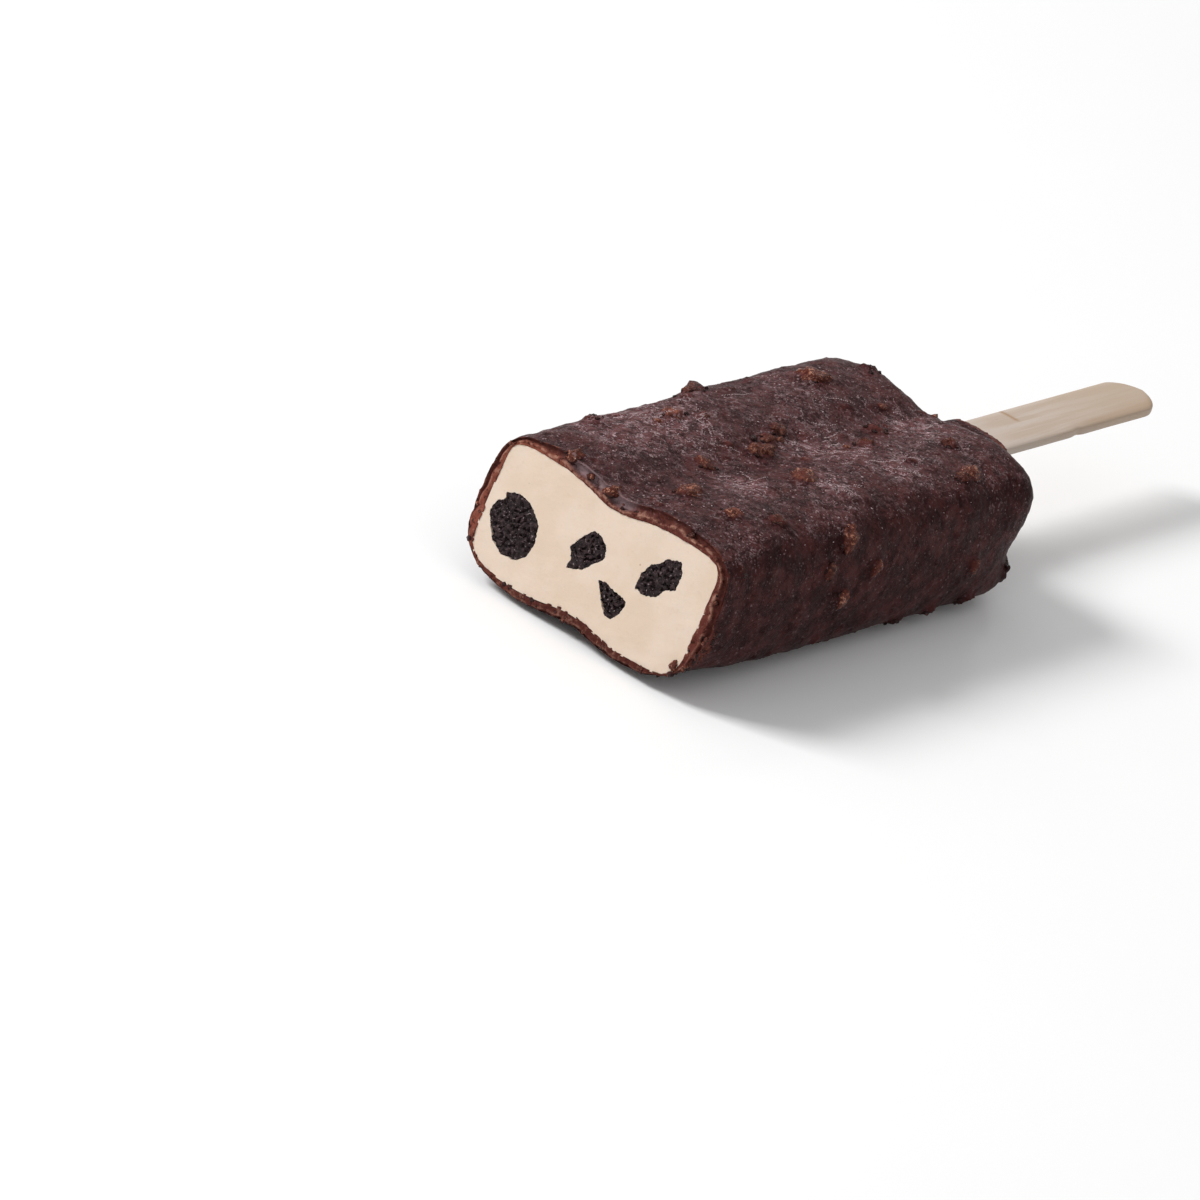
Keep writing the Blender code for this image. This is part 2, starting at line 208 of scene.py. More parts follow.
class BarFrame:
    """Where the bar's own measures start: the middle of the cut, on the surface that the bar lies on."""

    def origin(self) -> Vector:
        """The start of the bar's measures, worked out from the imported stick.

        Returns:
            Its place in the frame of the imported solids.
        """
        low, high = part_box("stick")
        middle = (low + high) / 2
        return Vector((high.x - STICK.tip, middle.y, middle.z - STICK.height))

    def settle(self, obj: bpy.types.Object) -> None:
        """Moves a mesh made in the bar's own measures to its place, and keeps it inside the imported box.

        Args:
            obj: the mesh's object.
        """
        origin = np.array(self.origin())
        low, high = (np.array(corner) for corner in CAD_BOX)
        count = len(obj.data.vertices)
        points = np.empty(count * 3)
        obj.data.vertices.foreach_get("co", points)
        placed = np.clip(points.reshape(-1, 3) + origin, low, high)
        obj.data.vertices.foreach_set("co", placed.ravel())
        obj.data.update()


@dataclass(frozen=True)
class Cut:
    """The plane that the bar was cut across at: its foot stands out and its top leans back."""

    lean: float = math.radians(9.6)
    height: float = 13 * MM

    def facing(self) -> Array:
        """The direction that the cut face looks in."""
        return np.array([-math.cos(self.lean), 0, math.sin(self.lean)])

    def along(self, height: Array) -> Array:
        """How far along the bar the cut lies at a height."""
        return (height - self.height) * math.tan(self.lean)

    def axes(self) -> tuple[Array, Array, Array]:
        """Two directions in the cut face, and the one that it looks in."""
        across = np.array([0.0, 1.0, 0.0])
        return across, np.cross(self.facing(), across), self.facing()


@dataclass(frozen=True)
class BarForm:
    """The bar's grooved, round-shouldered form at some depth under its surface."""

    side: float = 0.0
    top: float = 0.0
    bottom: float = 0.0
    end: float = 0.0
    top_squareness: float = 10.0
    bottom_squareness: float = 6.0
    bottom_squareness_at_cut: float = 6.0
    rise: float = 0.0
    belly: float = 0.0
    uneven: float = 0.0
    length: float = 90 * MM
    height: float = 26 * MM
    width_at_cut: float = 47.4 * MM
    width_at_end: float = 47 * MM
    belly_spread: float = 5 * MM
    top_groove_at_cut: float = 1.7 * MM
    top_groove_at_end: float = 2.2 * MM
    bottom_groove: float = 1.4 * MM
    groove_spread: float = 6.5 * MM
    shoulder_radius: float = 7.5 * MM
    edge_radius: float = 6.5 * MM
    cut_reach: float = 30 * MM
    uneven_wave: float = 16 * MM
    uneven_above: float = 6 * MM

    DENSE = 8000

    def straight_end(self) -> float:
        """How far along the bar its straight sides end."""
        return self.length - self.shoulder_radius

    def surface(self, along: Array, turn: Array, narrowed: Array, lowered: Array) -> tuple[Array, Array]:
        """Points of the form and the direction square to it at each.

        Args:
            along: distance from the cut.
            turn: angle round the section, from the bar's left over its top.
            narrowed: how much is taken off the half width.
            lowered: how much is taken off the half height.

        Returns:
            The points and the outward directions, each rings by turns by three.
        """
        along, turn, narrowed, lowered = np.broadcast_arrays(along, turn, narrowed, lowered)
        share = np.clip(along / self.length, 0, 1)
        full_width = self.width_at_cut + (self.width_at_end - self.width_at_cut) * share
        half_width = full_width / 2 - self.side - narrowed
        near_cut = np.clip(1 - np.maximum(along, 0) / self.cut_reach, 0, 1)
        bottom = self.bottom + self.rise * near_cut
        half_height = (self.height - self.top - bottom) / 2
        middle = bottom + half_height
        half_height = half_height - lowered
        groove = self.top_groove_at_cut + (self.top_groove_at_end - self.top_groove_at_cut) * share
        softer = self.bottom_squareness_at_cut - self.bottom_squareness
        low_power = self.bottom_squareness + softer * near_cut
        across, up = np.cos(turn), np.sin(turn)
        power = np.where(up > 0, self.top_squareness, low_power)
        reach = (np.abs(across) ** power + np.abs(up) ** power) ** (-1 / power)
        y = half_width * across * reach
        depth = np.where(up > 0, groove, self.bottom_groove)
        dip = 1 - depth / half_height * np.exp(-((y / self.groove_spread) ** 2))
        z = middle + half_height * up * reach * dip
        fullness = np.exp(-(((z - middle) / self.belly_spread) ** 2))
        y = y + np.where(y < 0, self.belly * fullness * y / half_width, 0)
        square_y = np.sign(across) * np.abs(across * reach) ** (power - 1) / half_width
        square_z = np.sign(up) * np.abs(up * reach) ** (power - 1) / half_height
        out = unit(np.stack([np.zeros_like(y), square_y, square_z], axis=-1))
        points = np.stack([along, y, z], axis=-1)
        if self.uneven:
            above = np.clip(z / self.uneven_above, 0, 1)
            points = points + out * (self.uneven * above * noise_at(points, self.uneven_wave))[..., None]
        return points, out

    def even_turns(self, count: int) -> Array:
        """Angles that divide the section's outline into equal lengths.

        Args:
            count: how many angles.

        Returns:
            The angles, from the bar's left over its top.
        """
        dense = np.linspace(0, math.tau, self.DENSE)
        ring, _ = replace(self, uneven=0.0).surface(self.length / 2, dense, 0.0, 0.0)
        walked = np.concatenate([[0], np.cumsum(np.linalg.norm(np.diff(ring, axis=0), axis=-1))])
        return np.interp(np.arange(count) * walked[-1] / count, walked, dense)

    def end_steps(self, rings: int) -> tuple[Array, Array, Array]:
        """Distances along, narrowing and lowering of the rings round the shoulder at the stick end.

        Args:
            rings: how many rings.

        Returns:
            One array of each, a value for each ring.
        """
        end = self.length - self.end
        shoulder = self.shoulder_radius - self.side
        edge = self.edge_radius - self.top
        turn = np.linspace(0, math.pi / 2, rings + 1)[1:]
        along = end - shoulder + shoulder * np.sin(turn)
        narrowed = shoulder * (1 - np.cos(turn))
        edge_share = np.clip((along - (end - edge)) / edge, 0, 1)
        lowered = edge * (1 - np.sqrt(1 - edge_share**2))
        return along, narrowed, lowered


SKIN = BarForm(
    bottom=-0.45 * MM,
    top_squareness=4.7,
    bottom_squareness=4.4,
    bottom_squareness_at_cut=3.4,
    rise=1.4 * MM,
    belly=0.7 * MM,
    uneven=0.4 * MM,
)
CAVITY = BarForm(side=1.9 * MM, top=2.3 * MM, bottom=2.5 * MM, end=2.6 * MM)


@dataclass(frozen=True)
class StickShape:
    """The flat stick: where it lies and how large it is."""

    tip: float = 151 * MM
    length: float = 114 * MM
    width: float = 10 * MM
    thickness: float = 2 * MM
    height: float = 15.6 * MM
    edge: float = 0.25 * MM

    def half_width(self, along: Array) -> Array:
        """Half the stick's width at a distance along, with half-round ends.

        Args:
            along: distance along the bar.

        Returns:
            Half the width there, zero past an end.
        """
        radius = self.width / 2
        root = self.tip - self.length
        past = np.maximum(np.maximum(along - (self.tip - radius), root + radius - along), 0)
        return np.sqrt(np.maximum(radius**2 - past**2, 0))


STICK = StickShape()


class NodeSheet:
    """A material's nodes, laid down one at a time. Distances in it are in millimetres."""

    def __init__(self, name: str) -> None:
        """Starts the material with its surface shader.

        Args:
            name: the material's name.
        """
        self.material = bpy.data.materials.new(name)
        self.material.use_nodes = True
        self.tree = self.material.node_tree
        self.surface = self.tree.nodes["Principled BSDF"]
        place = self.tree.nodes.new("ShaderNodeTexCoord").outputs["Object"]
        self.place = self.scaled(place, 1 / MM)

    def feed(self, socket: Socket, value: object) -> None:
        """Gives an input a number, a colour or another node's output.

        Args:
            socket: the input.
            value: what it gets.
        """
        if isinstance(value, Socket):
            self.tree.links.new(value, socket)
        elif isinstance(value, tuple) and socket.type == "RGBA":
            socket.default_value = (*value, 1)
        else:
            socket.default_value = value

    def scaled(self, vector: Socket, factor: object) -> Socket:
        """The vector times a number, or times a vector, axis by axis.

        Args:
            vector: the vector.
            factor: a number, or three.

        Returns:
            The scaled vector.
        """
        node = self.tree.nodes.new("ShaderNodeVectorMath")
        self.feed(node.inputs[0], vector)
        if isinstance(factor, tuple):
            node.operation = "MULTIPLY"
            node.inputs[1].default_value = factor
        else:
            node.operation = "SCALE"
            self.feed(node.inputs["Scale"], factor)
        return node.outputs[0]

    def moved(self, vector: Socket, by: object) -> Socket:
        """The vector plus another one.

        Args:
            vector: the vector.
            by: what is added.

        Returns:
            Their sum.
        """
        node = self.tree.nodes.new("ShaderNodeVectorMath")
        node.operation = "ADD"
        self.feed(node.inputs[0], vector)
        self.feed(node.inputs[1], by)
        return node.outputs[0]

    def turned(self, vector: Socket, angle: float) -> Socket:
        """The vector turned about the upright axis.

        Args:
            vector: the vector.
            angle: how far, in radians.

        Returns:
            The turned vector.
        """
        node = self.tree.nodes.new("ShaderNodeVectorRotate")
        node.rotation_type = "Z_AXIS"
        self.feed(node.inputs["Vector"], vector)
        node.inputs["Angle"].default_value = angle
        return node.outputs[0]

    def noise(
        self, wave: float, detail: float = 2, roughness: float = 0.5, at: Socket | None = None
    ) -> Socket:
        """Smooth noise between 0 and 1.

        Args:
            wave: distance between neighbouring bumps.
            detail: how many times finer noise is added.
            roughness: how strong the finer noise is.
            at: where it is read, or the place on the piece.

        Returns:
            The noise node's number.
        """
        node = self.tree.nodes.new("ShaderNodeTexNoise")
        self.feed(node.inputs["Vector"], at or self.place)
        node.inputs["Scale"].default_value = 1 / wave
        node.inputs["Detail"].default_value = detail
        node.inputs["Roughness"].default_value = roughness
        return node.outputs[0]

    def drift(self, wave: float, reach: float) -> Socket:
        """The place on the piece, pushed about by noise as far as reach each way.

        Args:
            wave: distance between pushes.
            reach: their length.

        Returns:
            The moved place.
        """
        node = self.tree.nodes.new("ShaderNodeTexNoise")
        self.feed(node.inputs["Vector"], self.place)
        node.inputs["Scale"].default_value = 1 / wave
        middle = self.moved(node.outputs["Color"], (-0.5, -0.5, -0.5))
        return self.moved(self.place, self.scaled(middle, 2 * reach))

    def cells(self, size: float, at: Socket | None = None) -> tuple[Socket, Socket]:
        """Scattered points.

        Args:
            size: distance between neighbouring points.
            at: where they are read, or the place on the piece.

        Returns:
            The distance to the nearest point, in steps of size, and that point's own random number.
        """
        node = self.tree.nodes.new("ShaderNodeTexVoronoi")
        self.feed(node.inputs["Vector"], at or self.place)
        node.inputs["Scale"].default_value = 1 / size
        split = self.tree.nodes.new("ShaderNodeSeparateColor")
        self.feed(split.inputs[0], node.outputs["Color"])
        return node.outputs["Distance"], split.outputs[0]

    def threads(self, wave: float, width: float) -> Socket:
        """Thin curved lines, where smooth noise of this wave passes its middle value.

        Args:
            wave: the noise's wave.
            width: half a line's width.

        Returns:
            One on a line, else zero.
        """
        clouds = self.noise(wave, 3, 0.6, self.drift(wave, 0.3 * wave))
        off_middle = self.maths("ABSOLUTE", self.sum(clouds, -0.5), 0)
        return self.ramp(off_middle, width, 0.3 * width)

    def ramp(self, value: object, low: float, high: float) -> Socket:
        """Zero at low, one at high, smooth between them; low may be the larger one.

        Args:
            value: the number read.
            low: where the ramp is zero.
            high: where it is one.

        Returns:
            A number between 0 and 1.
        """
        node = self.tree.nodes.new("ShaderNodeMapRange")
        node.interpolation_type = "SMOOTHSTEP"
        self.feed(node.inputs["Value"], value)
        if low < high:
            node.inputs["From Min"].default_value = low
            node.inputs["From Max"].default_value = high
            return node.outputs[0]
        node.inputs["From Min"].default_value = high
        node.inputs["From Max"].default_value = low
        return self.sum(1.0, self.times(node.outputs[0], -1.0))

    def maths(self, operation: str, first: object, second: object) -> Socket:
        """One step of arithmetic on two numbers.

        Args:
            operation: Blender's name for it.
            first: one number.
            second: the other.

        Returns:
            The outcome.
        """
        node = self.tree.nodes.new("ShaderNodeMath")
        node.operation = operation
        self.feed(node.inputs[0], first)
        self.feed(node.inputs[1], second)
        return node.outputs[0]

    def times(self, first: object, *others: object) -> Socket:
        """The product of numbers."""
        return reduce(partial(self.maths, "MULTIPLY"), others, first)

    def sum(self, first: object, *others: object) -> Socket:
        """The sum of numbers."""
        return reduce(partial(self.maths, "ADD"), others, first)

    def blend(self, share: object, ground: object, over: object) -> Socket:
        """One colour laid over another by a share between 0 and 1.

        Args:
            share: how much of the upper one shows.
            ground: the lower colour.
            over: the upper colour.

        Returns:
            The mixed colour.
        """
        node = self.tree.nodes.new("ShaderNodeMix")
        node.data_type = "RGBA"
        self.feed(node.inputs[0], share)
        self.feed(node.inputs[6], ground)
        self.feed(node.inputs[7], over)
        return node.outputs[2]

    def painted(self, name: str) -> Socket:
        """The number stored under this name on each point of the mesh.

        Args:
            name: the name it is stored under.

        Returns:
            The number.
        """
        node = self.tree.nodes.new("ShaderNodeAttribute")
        node.attribute_name = name
        return node.outputs["Fac"]

    def axis(self, index: int) -> Socket:
        """The place along x, y or z.

        Args:
            index: 0 for x, 1 for y, 2 for z.

        Returns:
            The place along it, in millimetres.
        """
        split = self.tree.nodes.new("ShaderNodeSeparateXYZ")
        self.feed(split.inputs[0], self.place)
        return split.outputs[index]

    def upward(self) -> Socket:
        """How much the surface faces up: one on a level top, zero on an upright side.

        Returns:
            The surface direction's upward part.
        """
        shape = self.tree.nodes.new("ShaderNodeNewGeometry")
        split = self.tree.nodes.new("ShaderNodeSeparateXYZ")
        self.feed(split.inputs[0], shape.outputs["Normal"])
        return split.outputs[2]

    def finish(self, colour: object, roughness: object, relief: object, depth: float) -> bpy.types.Material:
        """Connects the surface.

        Args:
            colour: the surface colour.
            roughness: how dull it is.
            relief: height of its fine relief, between 0 and 1.
            depth: how high that relief is, in millimetres.

        Returns:
            The finished material.
        """
        bump = self.tree.nodes.new("ShaderNodeBump")
        bump.inputs["Distance"].default_value = depth * MM
        self.feed(bump.inputs["Height"], relief)
        self.feed(self.surface.inputs["Normal"], bump.outputs[0])
        self.feed(self.surface.inputs["Base Color"], colour)
        self.feed(self.surface.inputs["Roughness"], roughness)
        return self.material


class ChocolateMarks:
    """What the chocolate's layers share: where it faces up, where frost and painted sheen lie, and its fine
    marks.
    """

    def __init__(self, sheet: NodeSheet) -> None:
        """Lays down the shared nodes.

        Args:
            sheet: the material's nodes.
        """
        self.up = sheet.ramp(sheet.upward(), 0.60, 1.0)
        self.frost_and_sheen_share = sheet.painted("frost_and_sheen")
        self.cluster = sheet.ramp(sheet.noise(3.5, 3, 0.6), 0.44, 0.60)
        self.grain = sheet.noise(1.3, 4, 0.75)
        self.fine = sheet.noise(0.55, 3, 0.7)
        # Thin pale lines, mostly on top: scratches and hairs, partly painted sheen.
        scratches_and_sheen = sheet.times(sheet.threads(2.6, 0.020), sheet.ramp(sheet.noise(1.9, 2), 0.50, 0.58))
        hairs_and_sheen = sheet.times(sheet.threads(1.3, 0.026), sheet.ramp(sheet.noise(2.7, 2), 0.52, 0.60))
        lines = sheet.maths("MAXIMUM", scratches_and_sheen, sheet.times(hairs_and_sheen, 0.5))
        self.lines = sheet.times(lines, sheet.sum(0.04, self.up), sheet.sum(0.2, self.frost_and_sheen_share))
        # Creases: sunk in the relief, and darkened as painted shade.
        self.creases = sheet.times(sheet.threads(1.8, 0.040), sheet.ramp(sheet.noise(2.2, 2), 0.44, 0.54))
        near, chance = sheet.cells(1.3, sheet.drift(1.1, 0.3))
        self.specks = sheet.times(sheet.ramp(near, 0.20, 0.10), sheet.ramp(chance, 0.55, 0.8))


@dataclass(frozen=True)
class ChocolateFinish:
    """Dark chocolate: maroon and dull on the sides, with a greyish bloom, frost and pale streaks on top that
    are partly painted sheen, and painted shade in its creases.
    """

    dark: Colour = (0.0190, 0.0049, 0.0049)
    ruddy: Colour = (0.054, 0.0145, 0.0134)
    bloom: Colour = (0.122, 0.048, 0.050)
    # The pale colour of frost, also used as painted sheen and glints on top.
    frost_and_sheen: Colour = (0.50, 0.360, 0.375)
    thin: Colour = (0.130, 0.032, 0.021)
    crumb: Colour = (0.34, 0.140, 0.086)
    cut: Colour = (0.195, 0.058, 0.038)
    cut_deep: Colour = (0.100, 0.027, 0.020)
    cut_pale: Colour = (0.36, 0.190, 0.140)
    cut_dark: Colour = (0.040, 0.011, 0.009)
    chip: Colour = (0.270, 0.185, 0.195)
    frost_and_sheen_streak_angle: float = math.radians(19.7)

    def material(self) -> bpy.types.Material:
        """Builds the nodes, layer by layer.

        Returns:
            The finished material.
        """
        sheet = NodeSheet("chocolate")
        marks = ChocolateMarks(sheet)
        colour = self.bloomed(sheet, marks)
        colour = self.scratched(sheet, marks, colour)
        colour = self.specked(sheet, marks, colour)
        colour = self.worn(sheet, marks, colour)
        colour = self.cut_edge(sheet, marks, colour)
        relief = sheet.sum(
            sheet.times(marks.grain, 0.6), sheet.times(marks.fine, 0.4), sheet.times(marks.specks, 0.2),
            sheet.times(marks.lines, 0.15), sheet.times(marks.creases, -0.2),
        )
        sheet.surface.inputs["Specular IOR Level"].default_value = 0.03
        return sheet.finish(colour, sheet.sum(0.28, sheet.times(marks.grain, 0.24)), relief, 0.30)

    def bloomed(self, sheet: NodeSheet, marks: ChocolateMarks) -> Socket:
        """The dark ground with a dull bloom over it, and powdery frost in clusters; both are stronger on
        upward faces, partly as painted sheen.

        Args:
            sheet: the material's nodes.
            marks: what the layers share.

        Returns:
            The colour with this layer on it.
        """
        ground = sheet.blend(sheet.ramp(sheet.noise(4, 4, 0.6), 0.40, 0.64), self.dark, self.ruddy)
        # More bloom on upward faces and in the frosty patches: real bloom and painted sheen.
        on_top = sheet.times(marks.up, sheet.sum(0.11, sheet.times(marks.frost_and_sheen_share, 0.66)))
        patchy = sheet.sum(0.20, sheet.times(sheet.ramp(marks.grain, 0.44, 0.56), 1.1))
        colour = sheet.blend(sheet.times(sheet.sum(0.11, on_top), patchy), ground, self.bloom)
        powder = sheet.times(
            sheet.ramp(marks.fine, 0.56, 0.64),
            sheet.sum(0.30, sheet.times(marks.up, 0.35)),
            sheet.sum(0.18, sheet.times(marks.frost_and_sheen_share, marks.cluster, 1.2)),
        )
        return sheet.blend(powder, colour, self.frost_and_sheen)

    def scratched(self, sheet: NodeSheet, marks: ChocolateMarks, colour: Socket) -> Socket:
        """Pale scratches and hairs and pale streaks that run lengthwise over the top, all partly painted
        sheen, and dark creases of painted shade.

        Args:
            sheet: the material's nodes.
            marks: what the layers share.
            colour: the colour under this layer.

        Returns:
            The colour with this layer on it.
        """
        # Pale lines in the frost colour: scratches and hairs, partly painted sheen.
        lit = sheet.times(marks.lines, 0.8)
        colour = sheet.blend(lit, colour, self.frost_and_sheen)
        # Painted shade: the sunk creases are darkened.
        colour = sheet.blend(sheet.times(marks.creases, 0.6), colour, self.dark)
        # Pale lengthwise streaks on upward faces in the frosty patches: frost and painted sheen.
        lengthwise = sheet.turned(sheet.drift(7, 1.8), self.frost_and_sheen_streak_angle)
        drawn_out = sheet.scaled(lengthwise, (0.35, 0.9, 0.9))
        streak = sheet.ramp(sheet.noise(1, 3, 0.65, drawn_out), 0.56, 0.66)
        return sheet.blend(sheet.times(streak, marks.up, marks.frost_and_sheen_share, 0.35), colour, self.frost_and_sheen)

    def specked(self, sheet: NodeSheet, marks: ChocolateMarks, colour: Socket) -> Socket:
        """White specks of frost and painted glints, and finer dust between them.

        Args:
            sheet: the material's nodes.
            marks: what the layers share.
            colour: the colour under this layer.

        Returns:
            The colour with this layer on it.
        """
        # Specks are paler and denser on upward faces: frost and painted glints.
        on_top = sheet.times(marks.up, marks.cluster)
        specks = sheet.times(marks.specks, sheet.sum(0.24, sheet.times(on_top, 0.4)))
        colour = sheet.blend(specks, colour, self.frost_and_sheen)
        near, chance = sheet.cells(0.6)
        dust = sheet.times(sheet.ramp(near, 0.30, 0.14), sheet.ramp(chance, 0.74, 0.9))
        return sheet.blend(sheet.times(dust, sheet.sum(0.18, sheet.times(on_top, 0.2))), colour, self.frost_and_sheen)

    def worn(self, sheet: NodeSheet, marks: ChocolateMarks, colour: Socket) -> Socket:
        """Lumps where the chocolate is thin, with the crumb showing through at their tips.

        Args:
            sheet: the material's nodes.
            marks: what the layers share.
            colour: the colour under this layer.

        Returns:
            The colour with this layer on it.
        """
        bare = sheet.painted("bare")
        patchy = sheet.ramp(sheet.noise(0.8, 3, 0.6), 0.35, 0.6)
        colour = sheet.blend(sheet.times(bare, sheet.sum(0.45, sheet.times(patchy, 0.5))), colour, self.thin)
        tips = sheet.times(sheet.ramp(bare, 0.45, 0.95), sheet.ramp(marks.grain, 0.5, 0.68), 0.7)
        return sheet.blend(tips, colour, self.crumb)

    def cut_edge(self, sheet: NodeSheet, marks: ChocolateMarks, colour: Socket) -> Socket:
        """The coating's cut edge: darker to the left, with painted shade low down, a scraped band and a pale
        ridge.

        Args:
            sheet: the material's nodes.
            marks: what the layers share.
            colour: the colour under this layer.

        Returns:
            The colour with this layer on it.
        """
        mottle = sheet.noise(1.3, 4, 0.7)
        edge = sheet.blend(sheet.painted("left"), self.cut_deep, self.cut)
        edge = sheet.blend(sheet.ramp(mottle, 0.46, 0.34), edge, self.cut_dark)
        edge = sheet.blend(sheet.times(sheet.ramp(mottle, 0.56, 0.66), 0.6), edge, self.cut_pale)
        # Painted shade: the cut edge is darkened low down, where it faces away from the light.
        edge = sheet.blend(sheet.times(sheet.ramp(sheet.axis(2), 9, 3), 0.5), edge, self.cut_dark)
        colour = sheet.blend(sheet.painted("cut"), colour, edge)
        scraped = sheet.times(sheet.painted("chipped"), sheet.ramp(marks.grain, 0.3, 0.5), 0.85)
        colour = sheet.blend(scraped, colour, self.chip)
        ridge = sheet.times(sheet.painted("ridge"), sheet.ramp(marks.grain, 0.42, 0.56), 0.75)
        return sheet.blend(ridge, colour, self.cut_pale)


@dataclass(frozen=True)
class CrispFinish:
    """Crumbs of cookie and nut under a film of chocolate, thinnest at their tips; darker low down, film and
    painted shade, with pale tips that are partly painted highlight.
    """

    coated_and_shaded: Colour = (0.028, 0.0072, 0.0060)
    thin: Colour = (0.105, 0.024, 0.014)
    tip: Colour = (0.52, 0.225, 0.140)

    def material(self) -> bpy.types.Material:
        """Builds the nodes.

        Returns:
            The finished material.
        """
        sheet = NodeSheet("crisp_crumbs")
        bare = sheet.painted("bare")
        grain = sheet.noise(0.55, 4, 0.65)
        patchy = sheet.noise(1.1, 2)
        shown = sheet.ramp(sheet.sum(bare, sheet.times(patchy, 0.9)), 0.62, 1.10)
        # The dark coated colour stands for the chocolate film and for painted shade on the crumb's lower
        # sides.
        colour = sheet.blend(shown, self.coated_and_shaded, self.thin)
        # Pale tips where the crumb shows: partly painted highlight.
        lit = sheet.times(sheet.ramp(grain, 0.54, 0.60), sheet.ramp(bare, 0.25, 0.95), 0.85)
        colour = sheet.blend(lit, colour, self.tip)
        sheet.surface.inputs["Specular IOR Level"].default_value = 0.20
        return sheet.finish(colour, 0.26, grain, 0.7)


@dataclass(frozen=True)
class FlakeFinish:
    """Frost and crumb dust: most of it greyish pink, some of it pale; the pale flakes are partly painted
    glints.
    """

    dull: Colour = (0.10, 0.055, 0.054)
    pale: Colour = (0.52, 0.40, 0.41)

    def material(self) -> bpy.types.Material:
        """Builds the nodes.

        Returns:
            The finished material.
        """
        sheet = NodeSheet("frost_and_glint_flakes")
        tone = sheet.ramp(sheet.sum(sheet.painted("bare"), sheet.times(sheet.noise(0.3, 1), 0.2)), 0.3, 1.1)
        colour = sheet.blend(tone, self.dull, self.pale)
        sheet.surface.inputs["Specular IOR Level"].default_value = 0.3
        return sheet.finish(colour, 0.5, sheet.noise(0.1, 1), 0.02)


@dataclass(frozen=True)
class IceCreamFinish:
    """Pale cream, smooth where the knife went, with faint specks and mottling."""

    cream: Colour = (0.610, 0.486, 0.382)
    pale: Colour = (0.640, 0.520, 0.424)
    warm: Colour = (0.540, 0.415, 0.300)
    speck: Colour = (0.20, 0.12, 0.08)

    def material(self) -> bpy.types.Material:
        """Builds the nodes.

        Returns:
            The finished material.
        """
        sheet = NodeSheet("ice_cream")
        clouds = sheet.noise(6, 3)
        grain = sheet.noise(0.5, 3, 0.6)
        colour = sheet.blend(sheet.ramp(clouds, 0.35, 0.65), self.cream, self.pale)
        colour = sheet.blend(sheet.times(sheet.ramp(grain, 0.55, 0.75), 0.35), colour, self.warm)
        near, chance = sheet.cells(3.2, sheet.drift(0.6, 0.12))
        specks = sheet.times(sheet.ramp(near, 0.075, 0.04), sheet.ramp(chance, 0.5, 0.7), 0.5)
        colour = sheet.blend(specks, colour, self.speck)
        surface = sheet.surface.inputs
        surface["Subsurface Weight"].default_value = 0.25
        surface["Subsurface Radius"].default_value = (1.0, 0.7, 0.5)
        surface["Subsurface Scale"].default_value = 0.8 * MM
        surface["Specular IOR Level"].default_value = 0.25
        return sheet.finish(colour, 0.55, sheet.sum(sheet.times(grain, 0.7), sheet.times(clouds, 0.3)), 0.05)


@dataclass(frozen=True)
class CookieFinish:
    """Near black cookie, baked dry: a grainy crumb with a few paler grains, partly painted glints."""

    dark: Colour = (0.0115, 0.0050, 0.0058)
    brown: Colour = (0.052, 0.028, 0.030)
    grey: Colour = (0.34, 0.27, 0.28)

    def material(self) -> bpy.types.Material:
        """Builds the nodes.

        Returns:
            The finished material.
        """
        sheet = NodeSheet("cookie")
        grain = sheet.noise(0.7, 4, 0.7)
        fine = sheet.noise(0.35, 2)
        colour = sheet.blend(sheet.ramp(grain, 0.46, 0.66), self.dark, self.brown)
        # Sparse pale grey specks: paler grains and painted glints.
        colour = sheet.blend(sheet.times(sheet.ramp(fine, 0.64, 0.74), 0.8), colour, self.grey)
        sheet.surface.inputs["Specular IOR Level"].default_value = 0.15
        return sheet.finish(colour, 0.4, sheet.sum(sheet.times(grain, 0.6), sheet.times(fine, 0.4)), 0.45)


@dataclass(frozen=True)
class BirchFinish:
    """Plain dry birch: fine lengthwise grain, short dark pores and a small scar."""

    wood: Colour = (0.445, 0.348, 0.274)
    pale: Colour = (0.500, 0.418, 0.358)
    grain: Colour = (0.350, 0.262, 0.195)
    scar: Colour = (0.300, 0.165, 0.070)
    aged: Colour = (0.435, 0.330, 0.240)

    def material(self) -> bpy.types.Material:
        """Builds the nodes.

        Returns:
            The finished material.
        """
        sheet = NodeSheet("birch")
        lengthwise = sheet.scaled(sheet.drift(30, 0.5), (0.05, 1.0, 1.0))
        bands = sheet.noise(1.3, 3, 0.6, lengthwise)
        fibres = sheet.noise(0.22, 3, 0.6, lengthwise)
        colour = sheet.blend(sheet.ramp(bands, 0.35, 0.65), self.wood, self.pale)
        colour = sheet.blend(sheet.times(sheet.painted("tip"), 0.7), colour, self.aged)
        colour = sheet.blend(sheet.times(sheet.ramp(fibres, 0.52, 0.72), 0.13), colour, self.grain)
        pores = sheet.noise(0.3, 1, 0.5, sheet.scaled(sheet.place, (0.22, 1.0, 1.0)))
        colour = sheet.blend(sheet.times(sheet.ramp(pores, 0.70, 0.80), 0.5), colour, self.grain)
        colour = sheet.blend(sheet.times(sheet.painted("scar"), 0.8), colour, self.scar)
        colour = sheet.blend(sheet.times(sheet.painted("root"), 0.7), colour, self.pale)
        sheet.surface.inputs["Specular IOR Level"].default_value = 0.25
        return sheet.finish(colour, 0.62, sheet.sum(sheet.times(fibres, 0.6), sheet.times(bands, 0.4)), 0.06)


@dataclass(frozen=True)
class FloorFinish:
    """A plain, nearly white board."""

    white: Colour = (0.90, 0.90, 0.90)
    shade: Colour = (0.88, 0.88, 0.88)

    def material(self) -> bpy.types.Material:
        """Builds the nodes.

        Returns:
            The finished material.
        """
        sheet = NodeSheet("floor")
        colour = sheet.blend(sheet.noise(60, 2), self.white, self.shade)
        return sheet.finish(colour, 0.8, sheet.noise(3, 2), 0.02)


